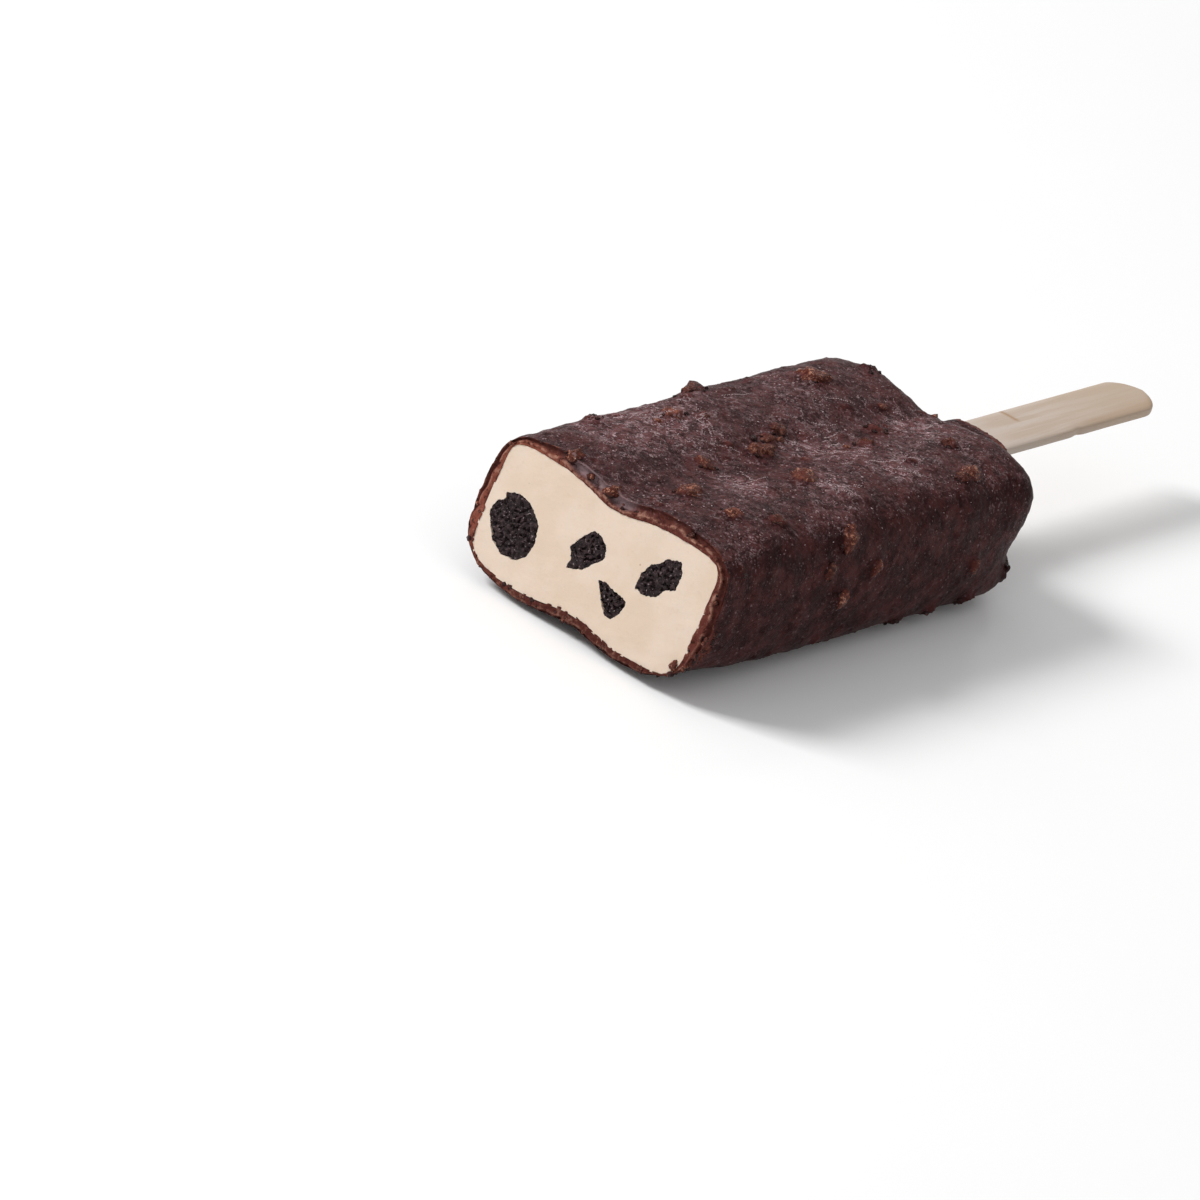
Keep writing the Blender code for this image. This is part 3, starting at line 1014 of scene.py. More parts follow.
@dataclass(frozen=True)
class Lump:
    """One crumb under the chocolate, where it makes the skin stand up."""

    place: Array
    normal: Array
    size: float
    bare: float
    seed: int

    # Heights and reaches are shares of the lump's size. HALO is the swelling round the lump, its height and
    # reach. CRATER_RING is a height, a radius and a width, and CRATER_HOLLOW a depth and a reach.
    HEIGHT_SHARE = 0.22
    HEIGHT_SPREAD = (0.9, 1.15)
    FACETS = 7
    STRETCH = 1.18
    LEAN = 0.35
    RIM = (0.42, 0.62)
    SLOPE = (0.8, 1.9)
    SOFTNESS = 0.10
    HALO = (0.11, 0.72)
    CRATER_RING = (0.13, 0.4, 0.13)
    CRATER_HOLLOW = (0.16, 0.3)

    def tangents(self) -> tuple[Array, Array]:
        """Two directions along the skin, square to each other; the lump is longest along the first.

        Returns:
            The lump's long direction and its short one.
        """
        grain = np.array((0.94, -0.34, 0.0) if abs(self.normal[2]) > 0.6 else (0.15, 0.0, 1.0))
        second = np.cross(self.normal, grain)
        second /= np.linalg.norm(second)
        first = np.cross(second, self.normal)
        spin = random.Random(self.seed + 500).uniform(-0.5, 0.5)
        turned = first * math.cos(spin) + second * math.sin(spin)
        return turned, second * math.cos(spin) - first * math.sin(spin)

    def relief(self, points: Array) -> Array:
        """How far the lump lifts the skin at points near it.

        Args:
            points: places on the skin.

        Returns:
            The lift at each.
        """
        draw = random.Random(self.seed)
        first, second = self.tangents()
        away = points - self.place
        u, v = away @ first / self.STRETCH, away @ second * self.STRETCH
        top = self.size * self.HEIGHT_SHARE * draw.uniform(*self.HEIGHT_SPREAD)
        tilt, lean = draw.uniform(0, math.tau), draw.uniform(0, self.LEAN)
        rise, spread = self.HALO
        halo = rise * self.size * np.exp(-((np.hypot(u, v) / (spread * self.size)) ** 4))
        height = top + lean * (u * math.cos(tilt) + v * math.sin(tilt))
        start = draw.uniform(0, math.tau)
        for facet in range(self.FACETS):
            turn = start + math.tau * (facet + draw.uniform(-0.3, 0.3)) / self.FACETS
            rim = self.size * draw.uniform(*self.RIM)
            slope = draw.uniform(*self.SLOPE)
            height = np.minimum(height, slope * (rim - u * math.cos(turn) - v * math.sin(turn)))
        soft = self.SOFTNESS * self.size
        foot = soft * np.exp(np.minimum(height / soft - 1, 0))
        return np.maximum(np.where(height > soft, height, foot), halo)

    def crater(self, points: Array) -> Array:
        """How far a burst bubble of this size lifts the skin: a raised ring round a hollow.

        Args:
            points: places on the skin.

        Returns:
            The lift at each, below zero in the hollow.
        """
        reach = np.linalg.norm(points - self.place, axis=-1) / self.size
        rise, radius, width = self.CRATER_RING
        depth, hollow = self.CRATER_HOLLOW
        ring = rise * np.exp(-(((reach - radius) / width) ** 2))
        return self.size * (ring - depth * np.exp(-((reach / hollow) ** 2)))


class LumpMap:
    """Where the lumps lie on the bar: those that show are placed one by one, the rest by a seeded rule."""

    # Each row: the place along the bar, then across it or up its side, the size, all in millimetres, and how
    # bare the lump is.
    TOP = (
        (3.4, 11.0, 2.6, 1.0), (2.6, 1.8, 2.4, 1.0), (13.2, -5.0, 4.2, 0.7), (26.0, 2.0, 3.6, 0.6),
        (13.4, -13.4, 3.0, 0.9), (20.6, -17.2, 3.2, 0.5), (33.0, 14.4, 3.6, 0.8), (41.2, 1.8, 4.4, 0.6),
        (45.4, 3.6, 2.8, 0.6), (49.4, 4.8, 3.4, 0.5), (38.2, -9.0, 3.6, 0.9), (70.6, 13.8, 4.8, 0.8),
        (69.4, -1.0, 3.4, 0.4), (62.0, -4.4, 3.2, 0.4), (18.8, 19.4, 2.8, 0.2), (42.4, 18.8, 2.4, 0.2),
        (46.6, 20.4, 3.6, 0.5), (76.0, -10.8, 2.8, 0.5), (72.0, -18.4, 3.4, 0.7), (69.6, -18.8, 2.6, 0.5),
        (84.6, 12.7, 3.0, 0.0),
    )
    RIGHT = (
        (34.4, 22.5, 4.0, 0.75), (42.4, 16.6, 2.8, 0.75), (35.0, 12.6, 3.2, 0.8), (29.8, 18.4, 2.6, 0.5),
        (72.0, 11.0, 2.8, 0.6), (5.6, 22.0, 2.2, 0.3), (57.5, 3.0, 2.6, 0.1), (67.0, 3.0, 3.0, 0.1),
        (76.6, 3.2, 3.6, 0.1), (87.8, 5.3, 5.0, 0.0),
    )
    HIDDEN = 12
    HIDDEN_SIZE = (2.4 * MM, 4 * MM)
    FINE = 46
    FINE_SIZE = (1.3 * MM, 2.1 * MM)
    CLEARANCE = 0.6 * MM
    TINY = 420
    TINY_SIZE = (0.5 * MM, 1.2 * MM)

    def __init__(self, points: Array) -> None:
        """Reads the bare skin that the lumps lie on.

        Args:
            points: its rings by points by three.
        """
        rings, around = points.shape[:2]
        index = np.arange(rings * around).reshape(rings, around)
        low, high = index[:-1], index[1:]
        quads = np.stack([low, np.roll(low, -1, 1), np.roll(high, -1, 1), high], axis=-1)
        self.surface = BVHTree.FromPolygons(points.reshape(-1, 3).tolist(), quads.reshape(-1, 4).tolist())

    def aims(self) -> list[tuple[Vector, Vector, float, float]]:
        """For each lump a point outside the bar, the way towards it, the lump's size and how bare it is.

        Returns:
            One row of the four for each lump.
        """
        draw = random.Random(SEED)
        far = SKIN.length
        down, left = Vector((0, 0, -1)), Vector((0, 1, 0))
        aims = [(Vector((x * MM, y * MM, far)), down, size * MM, bare) for x, y, size, bare in self.TOP]
        aims += [(Vector((x * MM, -far, z * MM)), left, size * MM, bare) for x, z, size, bare in self.RIGHT]
        for index in range(self.HIDDEN):
            along = SKIN.length * (index + draw.uniform(0.2, 0.8)) / self.HIDDEN
            height = SKIN.height * draw.uniform(0.2, 0.65)
            aims.append((Vector((along, far, height)), -left, draw.uniform(*self.HIDDEN_SIZE), index % 3 / 2))
        for index in range(self.FINE):
            along = SKIN.length * (index + 0.5) / self.FINE
            aims.append(self.around_bar(draw, along, self.FINE_SIZE, index % 5 / 6))
        for index in range(self.TINY):
            aims.append(self.around_bar(draw, SKIN.length * draw.uniform(0.02, 0.99), self.TINY_SIZE, 0.0))
        return aims

    def around_bar(
        self, draw: random.Random, along: float, sizes: tuple[float, float], bare: float
    ) -> tuple[Vector, Vector, float, float]:
        """An aim at the bar from any side at a distance along it.

        Args:
            draw: random numbers.
            along: the distance.
            sizes: the lump's least and greatest size.
            bare: how bare it is.

        Returns:
            A row like those of aims.
        """
        turn = draw.uniform(0, math.tau)
        towards = Vector((0, math.cos(turn), math.sin(turn)))
        start = Vector((along, 0, SKIN.height / 2)) + towards * SKIN.length
        return start, -towards, draw.uniform(*sizes), bare

    def lumps(self) -> list[Lump]:
        """Every lump, where its aim meets the skin.

        Returns:
            The lumps, in the order of their aims.
        """
        found = []
        for seed, (start, towards, size, bare) in enumerate(self.aims()):
            place, normal, _, _ = self.surface.ray_cast(start, towards)
            if place is None:
                continue
            if normal.dot(towards) > 0:
                normal = -normal
            if place.z < size / 2 + self.CLEARANCE and normal.z < 0:
                continue
            found.append(Lump(np.array(place), np.array(normal), size, bare, seed))
        return found


@dataclass
class ChocolateCoating:
    """The chocolate shell: its skin, the crumbly cut edge, its inner wall and the film on the stick."""

    around: int = 340
    straight_rings: int = 200
    shoulder_rings: int = 20
    end_rings: int = 9
    film_rings: int = 30
    wall_rings: int = 12
    rim_rings: int = 12
    film_length: float = 14.2 * MM
    film_thickness: float = 0.5 * MM
    film_fillet: float = 2.2 * MM
    film_fillet_reach: float = 3.5 * MM
    film_ragged: float = 0.7 * MM
    film_teeth: float = 0.25 * MM
    film_root: float = 0.4 * MM
    film_clearance: float = 0.04 * MM
    film_bumps: float = 0.16 * MM
    end_crown: float = 0.35 * MM
    end_bumps: float = 0.22 * MM
    gap: float = 0.3 * MM
    grain: float = 0.085 * MM
    swells: float = 0.30 * MM
    chamfer: float = 0.6 * MM
    crumble: float = 0.5 * MM
    lean_fades: float = 24 * MM
    rim_bare: float = 0.5
    film_edge_bare: float = 0.8
    crag_wave: float = 0.9 * MM
    swell_wave: float = 5.5 * MM
    corner_side: tuple[float, float] = (17 * MM, 22 * MM)
    corner_top: tuple[float, float] = (8 * MM, 15 * MM)
    corner_reach: float = 4.2 * MM
    edge_reach: float = 0.25 * MM
    frost_and_sheen_level: float = 0.10
    frost_and_sheen_spread: float = 0.45
    chip_start: float = 0.78
    chip_more_on_top: float = 0.36
    chip_more_where_scraped: float = 0.16
    chip_wobble: float = 0.2
    chip_ramp: float = 0.25
    scraped_from: tuple[float, float] = (-4 * MM, -1 * MM)
    scraped_to: tuple[float, float] = (10 * MM, 13 * MM)
    ridge_width: float = 0.09
    ridge_height: float = 0.16 * MM
    crack_depth: float = 0.8 * MM
    rim_height: float = 0.1 * MM
    nib: float = 0.10 * MM
    nib_spread: float = 0.20 * MM
    lumps: list[Lump] = field(init=False)
    skin_points: Array = field(init=False)
    frost_and_sheen: Array = field(init=False)
    inner_ring: Array = field(init=False)

    LEAN_PASSES = 3
    # Each row: the place along, across and up, the radius and the height, in millimetres.
    BULGES = ((86.5, -21.0, 18.5, 5.0, 0.8), (87.5, -22.0, 11.0, 5.0, -1.6))
    # Each row: the place along and across and the radius, in millimetres, and how much frost and painted
    # sheen the patch has.
    FROST_AND_SHEEN_PATCHES = (
        (28.4, 13.4, 9.0, 1.0), (26.5, -5.7, 4.5, 1.0), (53.5, -3.7, 7.0, 0.85), (58.5, -12.0, 5.0, 0.7),
        (41.4, -12.5, 4.0, 0.9), (78.0, -3.0, 5.0, 0.9), (15.8, 3.4, 6.5, 0.0), (43.5, 7.9, 4.0, 0.0),
        (8.5, -10.0, 8.5, 0.0), (60.0, 12.0, 7.0, 0.3), (20.5, 16.0, 5.0, 1.0), (18.5, 10.8, 4.5, 1.0),
    )

    def build(self, cut: Cut) -> bpy.types.Object:
        """Makes the coating's mesh as one closed skin that runs out over the bar and back inside it.

        Args:
            cut: the plane of the cut.

        Returns:
            The new object.
        """
        turns = SKIN.even_turns(self.around)[None, :]
        skin, out = self.outer_skin(turns, cut)
        self.lumps = LumpMap(skin).lumps()
        lifted, bare = self.add_relief(skin, out)
        self.skin_points = lifted
        self.frost_and_sheen = self.frost_and_sheen_field(lifted)
        film = self.film(turns)
        end_face = self.end_face(lifted[-1], film[0])
        inside = self.film_inside(turns)
        wall = self.inner_wall(turns, cut)
        self.inner_ring = wall[-1]
        rim, rim_cut, ridge, chipped = self.rim(wall[-1], lifted[0], cut)
        parts = [rim, lifted, end_face, film, inside, wall[:-1]]
        points = np.concatenate(parts)
        coating = grid_mesh("coating_fine", points, wrap=True)
        start = len(rim)
        skin_end = start + len(lifted)
        film_end = skin_end + len(end_face) + len(film)
        marks = {name: np.zeros(points.shape[:2]) for name in ("bare", "cut", "ridge", "chipped", "frost_and_sheen")}
        marks["bare"][:start] = self.rim_bare * (1 - rim_cut)
        marks["bare"][start:skin_end] = bare
        marks["bare"][film_end - 3:film_end + 1] = self.film_edge_bare
        marks["cut"][:start] = rim_cut
        marks["cut"][start:skin_end] = self.broken_corner(lifted)
        marks["ridge"][:start] = ridge
        marks["chipped"][:start] = chipped
        marks["chipped"][start:start + 2] = chipped[-1] * 0.7
        marks["frost_and_sheen"][start:skin_end] = self.frost_and_sheen
        marks["left"] = smooth_step(points[..., 1], 8 * MM, 16 * MM)
        for name, values in marks.items():
            paint(coating, name, values)
        return coating

    def broken_corner(self, skin: Array) -> Array:
        """Where the skin is broken open next to the cut: widest at the lower right corner.

        Args:
            skin: the lifted skin.

        Returns:
            One where it is broken open, else zero.
        """
        right = smooth_step(-skin[..., 1], *self.corner_side)
        low = (1 - smooth_step(skin[..., 2], *self.corner_top)) * smooth_step(skin[..., 2], 0, 2 * MM)
        reach = self.edge_reach + self.corner_reach * right * low
        away = skin[..., 0] - skin[:1, :, 0] + 0.9 * MM * noise_at(skin, 1.7 * MM, 2, 21.0)
        return 1 - smooth_step(away, 0.5 * reach, reach)

    def frost_and_sheen_field(self, skin: Array) -> Array:
        """How much frost and painted sheen the skin has at each point: most in a few patches on top that the
        photo shows.

        Args:
            skin: the lifted skin.

        Returns:
            A share between 0 and 1 for each point.
        """
        frost_and_sheen_share = self.frost_and_sheen_level + self.frost_and_sheen_spread * noise_at(skin, 12 * MM, 3, 7.0)
        for x, y, radius, strength in self.FROST_AND_SHEEN_PATCHES:
            away = np.hypot(skin[..., 0] - x * MM, skin[..., 1] - y * MM) / (radius * MM)
            patch = np.exp(-(away**2) * (1 + 0.6 * noise_at(skin, 4 * MM, 2, 2.0)))
            frost_and_sheen_share = frost_and_sheen_share + (strength - frost_and_sheen_share) * patch
        return np.clip(frost_and_sheen_share, 0, 1)

    def leaning(self, form: BarForm, base: Array, turns: Array, cut: Cut) -> tuple[Array, Array]:
        """A form's straight stretch, whose rings lean over towards the cut until the first lies in it.

        Args:
            form: the form.
            base: distances along, as if the cut were upright.
            turns: angles round the section.
            cut: the plane of the cut.

        Returns:
            The points and the outward directions, each rings by turns by three.
        """
        fade = 1 - smooth_step(base, 0, self.lean_fades)
        along = base + 0 * turns
        none = np.zeros((1, 1))
        for _ in range(self.LEAN_PASSES):
            points, out = form.surface(along, turns, none, none)
            along = base + cut.along(points[..., 2]) * fade
        return points, out

    def outer_skin(self, turns: Array, cut: Cut) -> tuple[Array, Array]:
        """The bare skin from the cut to the end of the round shoulder, and its outward directions.

        Args:
            turns: angles round the section.
            cut: the plane of the cut.

        Returns:
            Both, as rings by turns by three.
        """
        base = np.linspace(0, SKIN.straight_end(), self.straight_rings)[:, None]
        points, out = self.leaning(SKIN, base, turns, cut)
        ends, narrowed, lowered = (part[:, None] for part in SKIN.end_steps(self.shoulder_rings))
        round_points, round_out = SKIN.surface(ends, turns, narrowed, lowered)
        lean = np.linspace(0, 1, self.shoulder_rings)[:, None, None] * math.pi / 2 * 0.9
        round_out = round_out * np.cos(lean) + np.array([1, 0, 0]) * np.sin(lean)
        points = np.concatenate([points, round_points])
        points[..., 2] = np.maximum(points[..., 2], 0)
        return points, np.concatenate([out, round_out])

    def add_relief(self, skin: Array, out: Array) -> tuple[Array, Array]:
        """Lifts the skin over every lump and gives it a fine unevenness.

        Args:
            skin: the bare skin's points.
            out: the direction square to it at each.

        Returns:
            The lifted points, and how thin the chocolate is at each.
        """
        flat = skin.reshape(-1, 3)
        lift = np.zeros(len(flat))
        bare = np.zeros(len(flat))
        for lump in self.lumps:
            near = np.nonzero(np.linalg.norm(flat - lump.place, axis=1) < lump.size * 1.1)[0]
            if lump.size < LumpMap.TINY_SIZE[1] and lump.seed % 3:
                lift[near] += lump.crater(flat[near])
                continue
            height = lump.relief(flat[near])
            lift[near] = np.maximum(lift[near], height)
            peak = lump.size * Lump.HEIGHT_SHARE
            bare[near] = np.maximum(bare[near], lump.bare * smooth_step(height / peak, 0.35, 0.9))
        crags = noise_at(flat, self.crag_wave, 3)
        swells = self.swells * noise_at(flat, self.swell_wave, 3, 5.0)
        resting = smooth_step(flat[:, 2], 0.2 * MM, 2 * MM)
        lift = lift * (1 + 0.35 * crags) + resting * (self.grain * crags + swells)
        for x, y, z, radius, height in self.BULGES:
            away = np.linalg.norm(flat - np.array((x, y, z)) * MM, axis=1) / (radius * MM)
            lift += height * MM * np.exp(-(away**2))
        lifted = flat + out.reshape(-1, 3) * lift[:, None]
        lifted[:, 2] = np.maximum(lifted[:, 2], 0)
        return lifted.reshape(skin.shape), bare.reshape(skin.shape[:2])

    def ragged(self, turns: Array) -> Array:
        """How far the film's edge runs out past its mean length, at angles round the stick."""
        edge = np.stack([np.cos(turns), np.sin(turns), 0 * turns], axis=-1)
        return self.film_ragged * noise_at(edge, 1 / 1.7) + self.film_teeth * noise_at(edge, 1 / 9, 2)

    def film(self, turns: Array) -> Array:
        """The film of chocolate drawn out along the stick, from the bar's end face to its ragged edge.

        Args:
            turns: angles round the section.

        Returns:
            Its rings of points.
        """
        across, up = np.cos(turns), np.sin(turns)
        share = np.linspace(0, 1, self.film_rings)[:, None]
        reach = self.film_length - self.film_root + self.ragged(turns)
        along = SKIN.length + self.film_root + reach * share
        fillet = self.film_fillet * np.exp(-np.maximum(along - SKIN.length, 0) / self.film_fillet_reach)
        worn = 1 - 0.25 * smooth_step(share, 0.93, 1)
        thick = self.gap + self.film_thickness * worn + fillet
        reach = (across**4 + up**4) ** -0.25
        y = (STICK.width / 2 + thick) * across * reach
        z = STICK.height + (STICK.thickness / 2 + thick) * up * reach
        points = np.stack([along, y, z], axis=-1)
        points[..., 2] += self.film_bumps * noise_at(points, 1.6 * MM, 3) * np.sign(up)
        return points

    def end_face(self, last: Array, first: Array) -> Array:
        """Rings between the end of the shoulder and the root of the film.

        Args:
            last: the shoulder's last ring.
            first: the film's first.

        Returns:
            The rings.
        """
        share = np.linspace(0, 1, self.end_rings + 2)[1:-1, None, None]
        rings = last[None] * (1 - share) + first[None] * share
        crown = self.end_crown * np.sin(share[..., 0] * math.pi)
        rings[..., 0] += crown + self.end_bumps * noise_at(rings, 2.2 * MM, 3)
        return rings

    def film_inside(self, turns: Array) -> Array:
        """The film's blunt end and its inner side, back along the stick into the bar.

        Args:
            turns: angles round the section.

        Returns:
            Its rings of points.
        """
        across, up = np.cos(turns), np.sin(turns)
        reach = (across**8 + up**8) ** (-1 / 8)
        y = (STICK.width / 2 + self.film_clearance) * across * reach
        z = STICK.height + (STICK.thickness / 2 + self.film_clearance) * up * reach
        rings = []
        film_end = SKIN.length + self.film_length + self.ragged(turns)
        for along in (film_end, SKIN.length, CAVITY.length - CAVITY.end):
            rings.append(np.stack([along + 0 * turns, y, z], axis=-1)[0])
        return np.array(rings)

    def inner_wall(self, turns: Array, cut: Cut) -> Array:
        """The wall of the hollow that the ice cream fills, from the stick end to the cut.

        Args:
            turns: angles round the section.
            cut: the plane of the cut.

        Returns:
            Its rings of points.
        """
        ends, narrowed, lowered = (part[::-1, None] for part in CAVITY.end_steps(6))
        round_points, _ = CAVITY.surface(ends, turns, narrowed, lowered)
        base = np.linspace(CAVITY.straight_end() - CAVITY.end, 0, self.wall_rings)[:, None]
        points, _ = self.leaning(CAVITY, base, turns, cut)
        return np.concatenate([round_points, points])

    def rim(self, inner: Array, outer: Array, cut: Cut) -> tuple[Array, Array, Array, Array]:
        """The coating's cut edge: crumbly, with its outer corner chipped away and cracks by the ice cream.

        Args:
            inner: the ring where the cut meets the ice cream.
            outer: the ring where the cut meets the skin.
            cut: the plane of the cut.

        Returns:
            The rim's rings from the inside out; then for each point how freshly cut it is, whether a pale
            ridge runs there, and how far it is chipped off along the top.
        """
        share = np.linspace(0, 1, self.rim_rings + 1)[:-1, None]
        rings = inner[None] * (1 - share[..., None]) + outer[None] * share[..., None]
        wobble = noise_at(rings, 2.6 * MM, 2, 3.0)
        crumbs = noise_at(rings, 0.8 * MM, 3, 9.0)
        above = smooth_step(rings[..., 2], 8 * MM, 18 * MM)
        scraped = above * smooth_step(rings[..., 1], *self.scraped_from)
        scraped = scraped * (1 - smooth_step(rings[..., 1], *self.scraped_to))
        start = self.chip_start + self.chip_wobble * wobble
        start = start - self.chip_more_on_top * above - self.chip_more_where_scraped * scraped
        chipped = smooth_step(share, start, start + self.chip_ramp)
        ridge = np.exp(-(((share - start + 0.06) / self.ridge_width) ** 2)) * (0.35 + 0.65 * above)
        low_left = smooth_step(rings[..., 1], -6 * MM, 4 * MM) * (1 - above)
        crack = smooth_step(0.26 - share, 0, 0.16) * smooth_step(wobble, 0.0, 0.2) * low_left
        height = self.rim_height + self.crumble * (0.5 - 0.25 * above) * crumbs + self.ridge_height * ridge
        height = height - self.chamfer * chipped * (1 + 0.6 * scraped) - self.crack_depth * crack
        rings = rings + cut.facing() * height[..., None]
        centre = np.array([0.0, 0.0, cut.height])
        inwards = unit(centre - rings)
        inner_edge = np.broadcast_to(rings[:1], rings.shape)
        nibs = self.nib + (self.nib_spread - self.nib * above) * noise_at(inner_edge, 1.4 * MM, 3, 12.0)
        rings = rings + inwards * (nibs * (1 - smooth_step(share, 0, 0.5)))[..., None]
        return rings, np.clip(1 - 0.9 * chipped, 0, 1) * (1 - 0.7 * crack), ridge, chipped * scraped

    def dress(self, coating: bpy.types.Object) -> None:
        """Gives the coating its finish, hangs it on the bar's body and hides the imported coating.

        Args:
            coating: the coating's object.
        """
        coating.data.materials.append(ChocolateFinish().material())
        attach(coating, BODY)
        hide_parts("coating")


@dataclass(frozen=True)
class CraggyCrumb:
    """The shape of one crumb: a many-sided block with a rough skin."""

    facets: int = 9
    detail: int = 3
    roughness: float = 0.38

    def shaped(self, directions: Array, seed: int) -> Array:
        """The directions pushed out to this crumb's own skin, about one unit across.

        Args:
            directions: points of a unit ball.
            seed: picks the crumb.

        Returns:
            The crumb's points.
        """
        draw = random.Random(seed)
        radius = np.full(len(directions), 1.0)
        for _ in range(self.facets):
            side = np.array([draw.gauss(0, 1), draw.gauss(0, 1), draw.gauss(0, 1)])
            side /= np.linalg.norm(side)
            facing = np.maximum(directions @ side, 0.05)
            radius = np.minimum(radius, draw.uniform(0.66, 0.95) / facing)
        rough = noise_at(directions, 0.42, 3, seed * 3.7)
        return directions * (0.5 * radius * (1 + self.roughness * rough))[:, None]


class Heap:
    """Many small closed bodies, collected to be joined to one mesh."""

    def __init__(self) -> None:
        """Starts empty."""
        self.points: list[Array] = []
        self.faces: list[list[int]] = []
        self.marks: list[Array] = []
        self.count = 0

    def add(self, points: Array, faces: list[list[int]], marks: Array) -> None:
        """Adds one body with a number for each of its points.

        Args:
            points: its points.
            faces: its faces.
            marks: a number for each point.
        """
        self.points.append(points)
        self.faces += [[self.count + corner for corner in face] for face in faces]
        self.marks.append(marks)
        self.count += len(points)

    def join(self, name: str) -> bpy.types.Object:
        """One object of all the bodies.

        Args:
            name: the object's name.

        Returns:
            The new object.
        """
        obj = mesh_object(name, np.concatenate(self.points), self.faces)
        paint(obj, "bare", np.concatenate(self.marks))
        return obj


@dataclass
class CrispCrumbs:
    """Crumbs that poke out of the chocolate: one on each lump, small ones by it, and some in the cut edge."""

    cut_crumbs: int = 120
    corner_crumbs: int = 34
    pale_crumb: tuple[float, float, float] = (-20.5 * MM, 5.6 * MM, 2.3 * MM)
    small_below: float = 2.1 * MM
    shape: CraggyCrumb = CraggyCrumb()
    coarse: CraggyCrumb = CraggyCrumb(detail=2)

    def build(self, coating: ChocolateCoating, cut: Cut) -> bpy.types.Object:
        """Makes every crumb and joins them to one mesh.

        Args:
            coating: the built coating.
            cut: the plane of the cut.

        Returns:
            The new object.
        """
        draw = random.Random(SEED + 1)
        heap = Heap()
        skin = LumpMap(coating.skin_points).surface
        for lump in coating.lumps:
            if lump.size > LumpMap.FINE_SIZE[1] or (lump.size > LumpMap.TINY_SIZE[1] and lump.bare > 0.5):
                self.lay_nugget(heap, lump, skin, draw)
        self.lay_in_cut(heap, coating, cut, draw)
        self.lay_at_corner(heap, coating, cut, draw)
        return heap.join("crisp_crumbs")

    def lay(
        self, heap: Heap, shape: CraggyCrumb, place: Array, axes: tuple[Array, Array, Array], size: Array,
        bare: float, draw: random.Random,
    ) -> None:
        """Adds one crumb.

        Args:
            heap: what it is added to.
            shape: its shape.
            place: its middle.
            axes: its two directions along the surface and the one out of it.
            size: its size along each of them.
            bare: how little chocolate covers its top.
            draw: random numbers.
        """
        directions, faces = ball(shape.detail)
        crumb = shape.shaped(directions, draw.randrange(10_000)) * size
        # Lower on a crumb less of it is bare: the chocolate film, and painted shade on its lower sides.
        up = crumb[:, 2] / size[2]
        lower = 0.4 * bare**3
        shown = smooth_step(up, 0.02 - lower, 0.38 - 0.5 * lower)
        heap.add(place + crumb @ np.array(axes), faces, bare * shown)

    def lay_nugget(self, heap: Heap, lump: Lump, skin: BVHTree, draw: random.Random) -> None:
        """Lays a lump's main crumb and a few small ones round it.

        Args:
            heap: what they are added to.
            lump: the lump.
            skin: the skin.
            draw: random numbers.
        """
        first, second = lump.tangents()
        axes = (first, second, lump.normal)
        shown = 0.72 + 0.28 * min(1.0, lump.bare / 0.5)
        size = shown * lump.size * np.array([draw.uniform(1.2, 1.45), draw.uniform(0.9, 1.1), 0.98])
        place = lump.place - lump.normal * 0.12 * lump.size
        small = lump.size < self.small_below
        self.lay(heap, self.coarse if small else self.shape, place, axes, size, lump.bare, draw)
        if small:
            return
        for _ in range(draw.randrange(2, 4)):
            turn, reach = draw.uniform(0, math.tau), lump.size * draw.uniform(0.35, 0.6)
            spot = lump.place + (first * math.cos(turn) * 1.2 + second * math.sin(turn)) * reach
            size = lump.size * draw.uniform(0.18, 0.34) * np.array([1.2, 0.9, 0.8])
            spot = np.array(skin.find_nearest(Vector(spot))[0]) + lump.normal * 0.05 * size[2]
            self.lay(heap, self.coarse, spot, axes, size, lump.bare * draw.uniform(0.2, 0.9), draw)

    def lay_in_cut(self, heap: Heap, coating: ChocolateCoating, cut: Cut, draw: random.Random) -> None:
        """Lays crumbs in the coating's cut edge, most of them in its lower half, and the pale one.

        Args:
            heap: what they are added to.
            coating: the built coating.
            cut: the plane of the cut.
            draw: random numbers.
        """
        axes = cut.axes()
        facing = axes[2]
        inner, outer = coating.inner_ring, coating.skin_points[0]
        for _ in range(self.cut_crumbs):
            column = draw.randrange(len(inner))
            if outer[column][2] > cut.height and draw.random() < 0.6:
                continue
            share = draw.uniform(0.15, 0.9)
            size = draw.uniform(0.4, 1.15) * MM * np.array([1.0, 1.0, 0.8])
            place = inner[column] * (1 - share) + outer[column] * share
            place = place - facing * size[2] * draw.uniform(0.05, 0.3)
            self.lay(heap, self.coarse, place, axes, size, draw.uniform(0.1, 0.9), draw)
        y, z, width = self.pale_crumb
        place = np.array((float(cut.along(z)), y, z)) - facing * 0.2 * width
        self.lay(heap, self.shape, place, axes, width * np.array([0.8, 1.0, 0.9]), 1.0, draw)

    def lay_at_corner(self, heap: Heap, coating: ChocolateCoating, cut: Cut, draw: random.Random) -> None:
        """Lays crumbs where the coating is broken open, low on the right beside the cut.

        Args:
            heap: what they are added to.
            coating: the built coating.
            cut: the plane of the cut.
            draw: random numbers.
        """
        skin = coating.skin_points
        corner = (skin[..., 1] < -17 * MM) & (skin[..., 2] > 1.5 * MM) & (skin[..., 2] < 13 * MM)
        rows, columns = np.nonzero(corner[:8])
        for _ in range(self.corner_crumbs):
            pick = draw.randrange(len(rows))
            place = skin[rows[pick], columns[pick]] + np.array((0.0, 0.12, 0.04)) * MM
            size = draw.uniform(0.5, 1.5) * MM * np.array([0.9, 1.1, 0.8])
            self.lay(heap, self.coarse, place, cut.axes(), size, draw.uniform(0.2, 0.9), draw)

    def dress(self, crumbs: bpy.types.Object) -> None:
        """Gives the crumbs their finish; they ride with the coating.

        Args:
            crumbs: the crumbs' object.
        """
        crumbs.data.materials.append(CrispFinish().material())
        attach(crumbs, BODY)


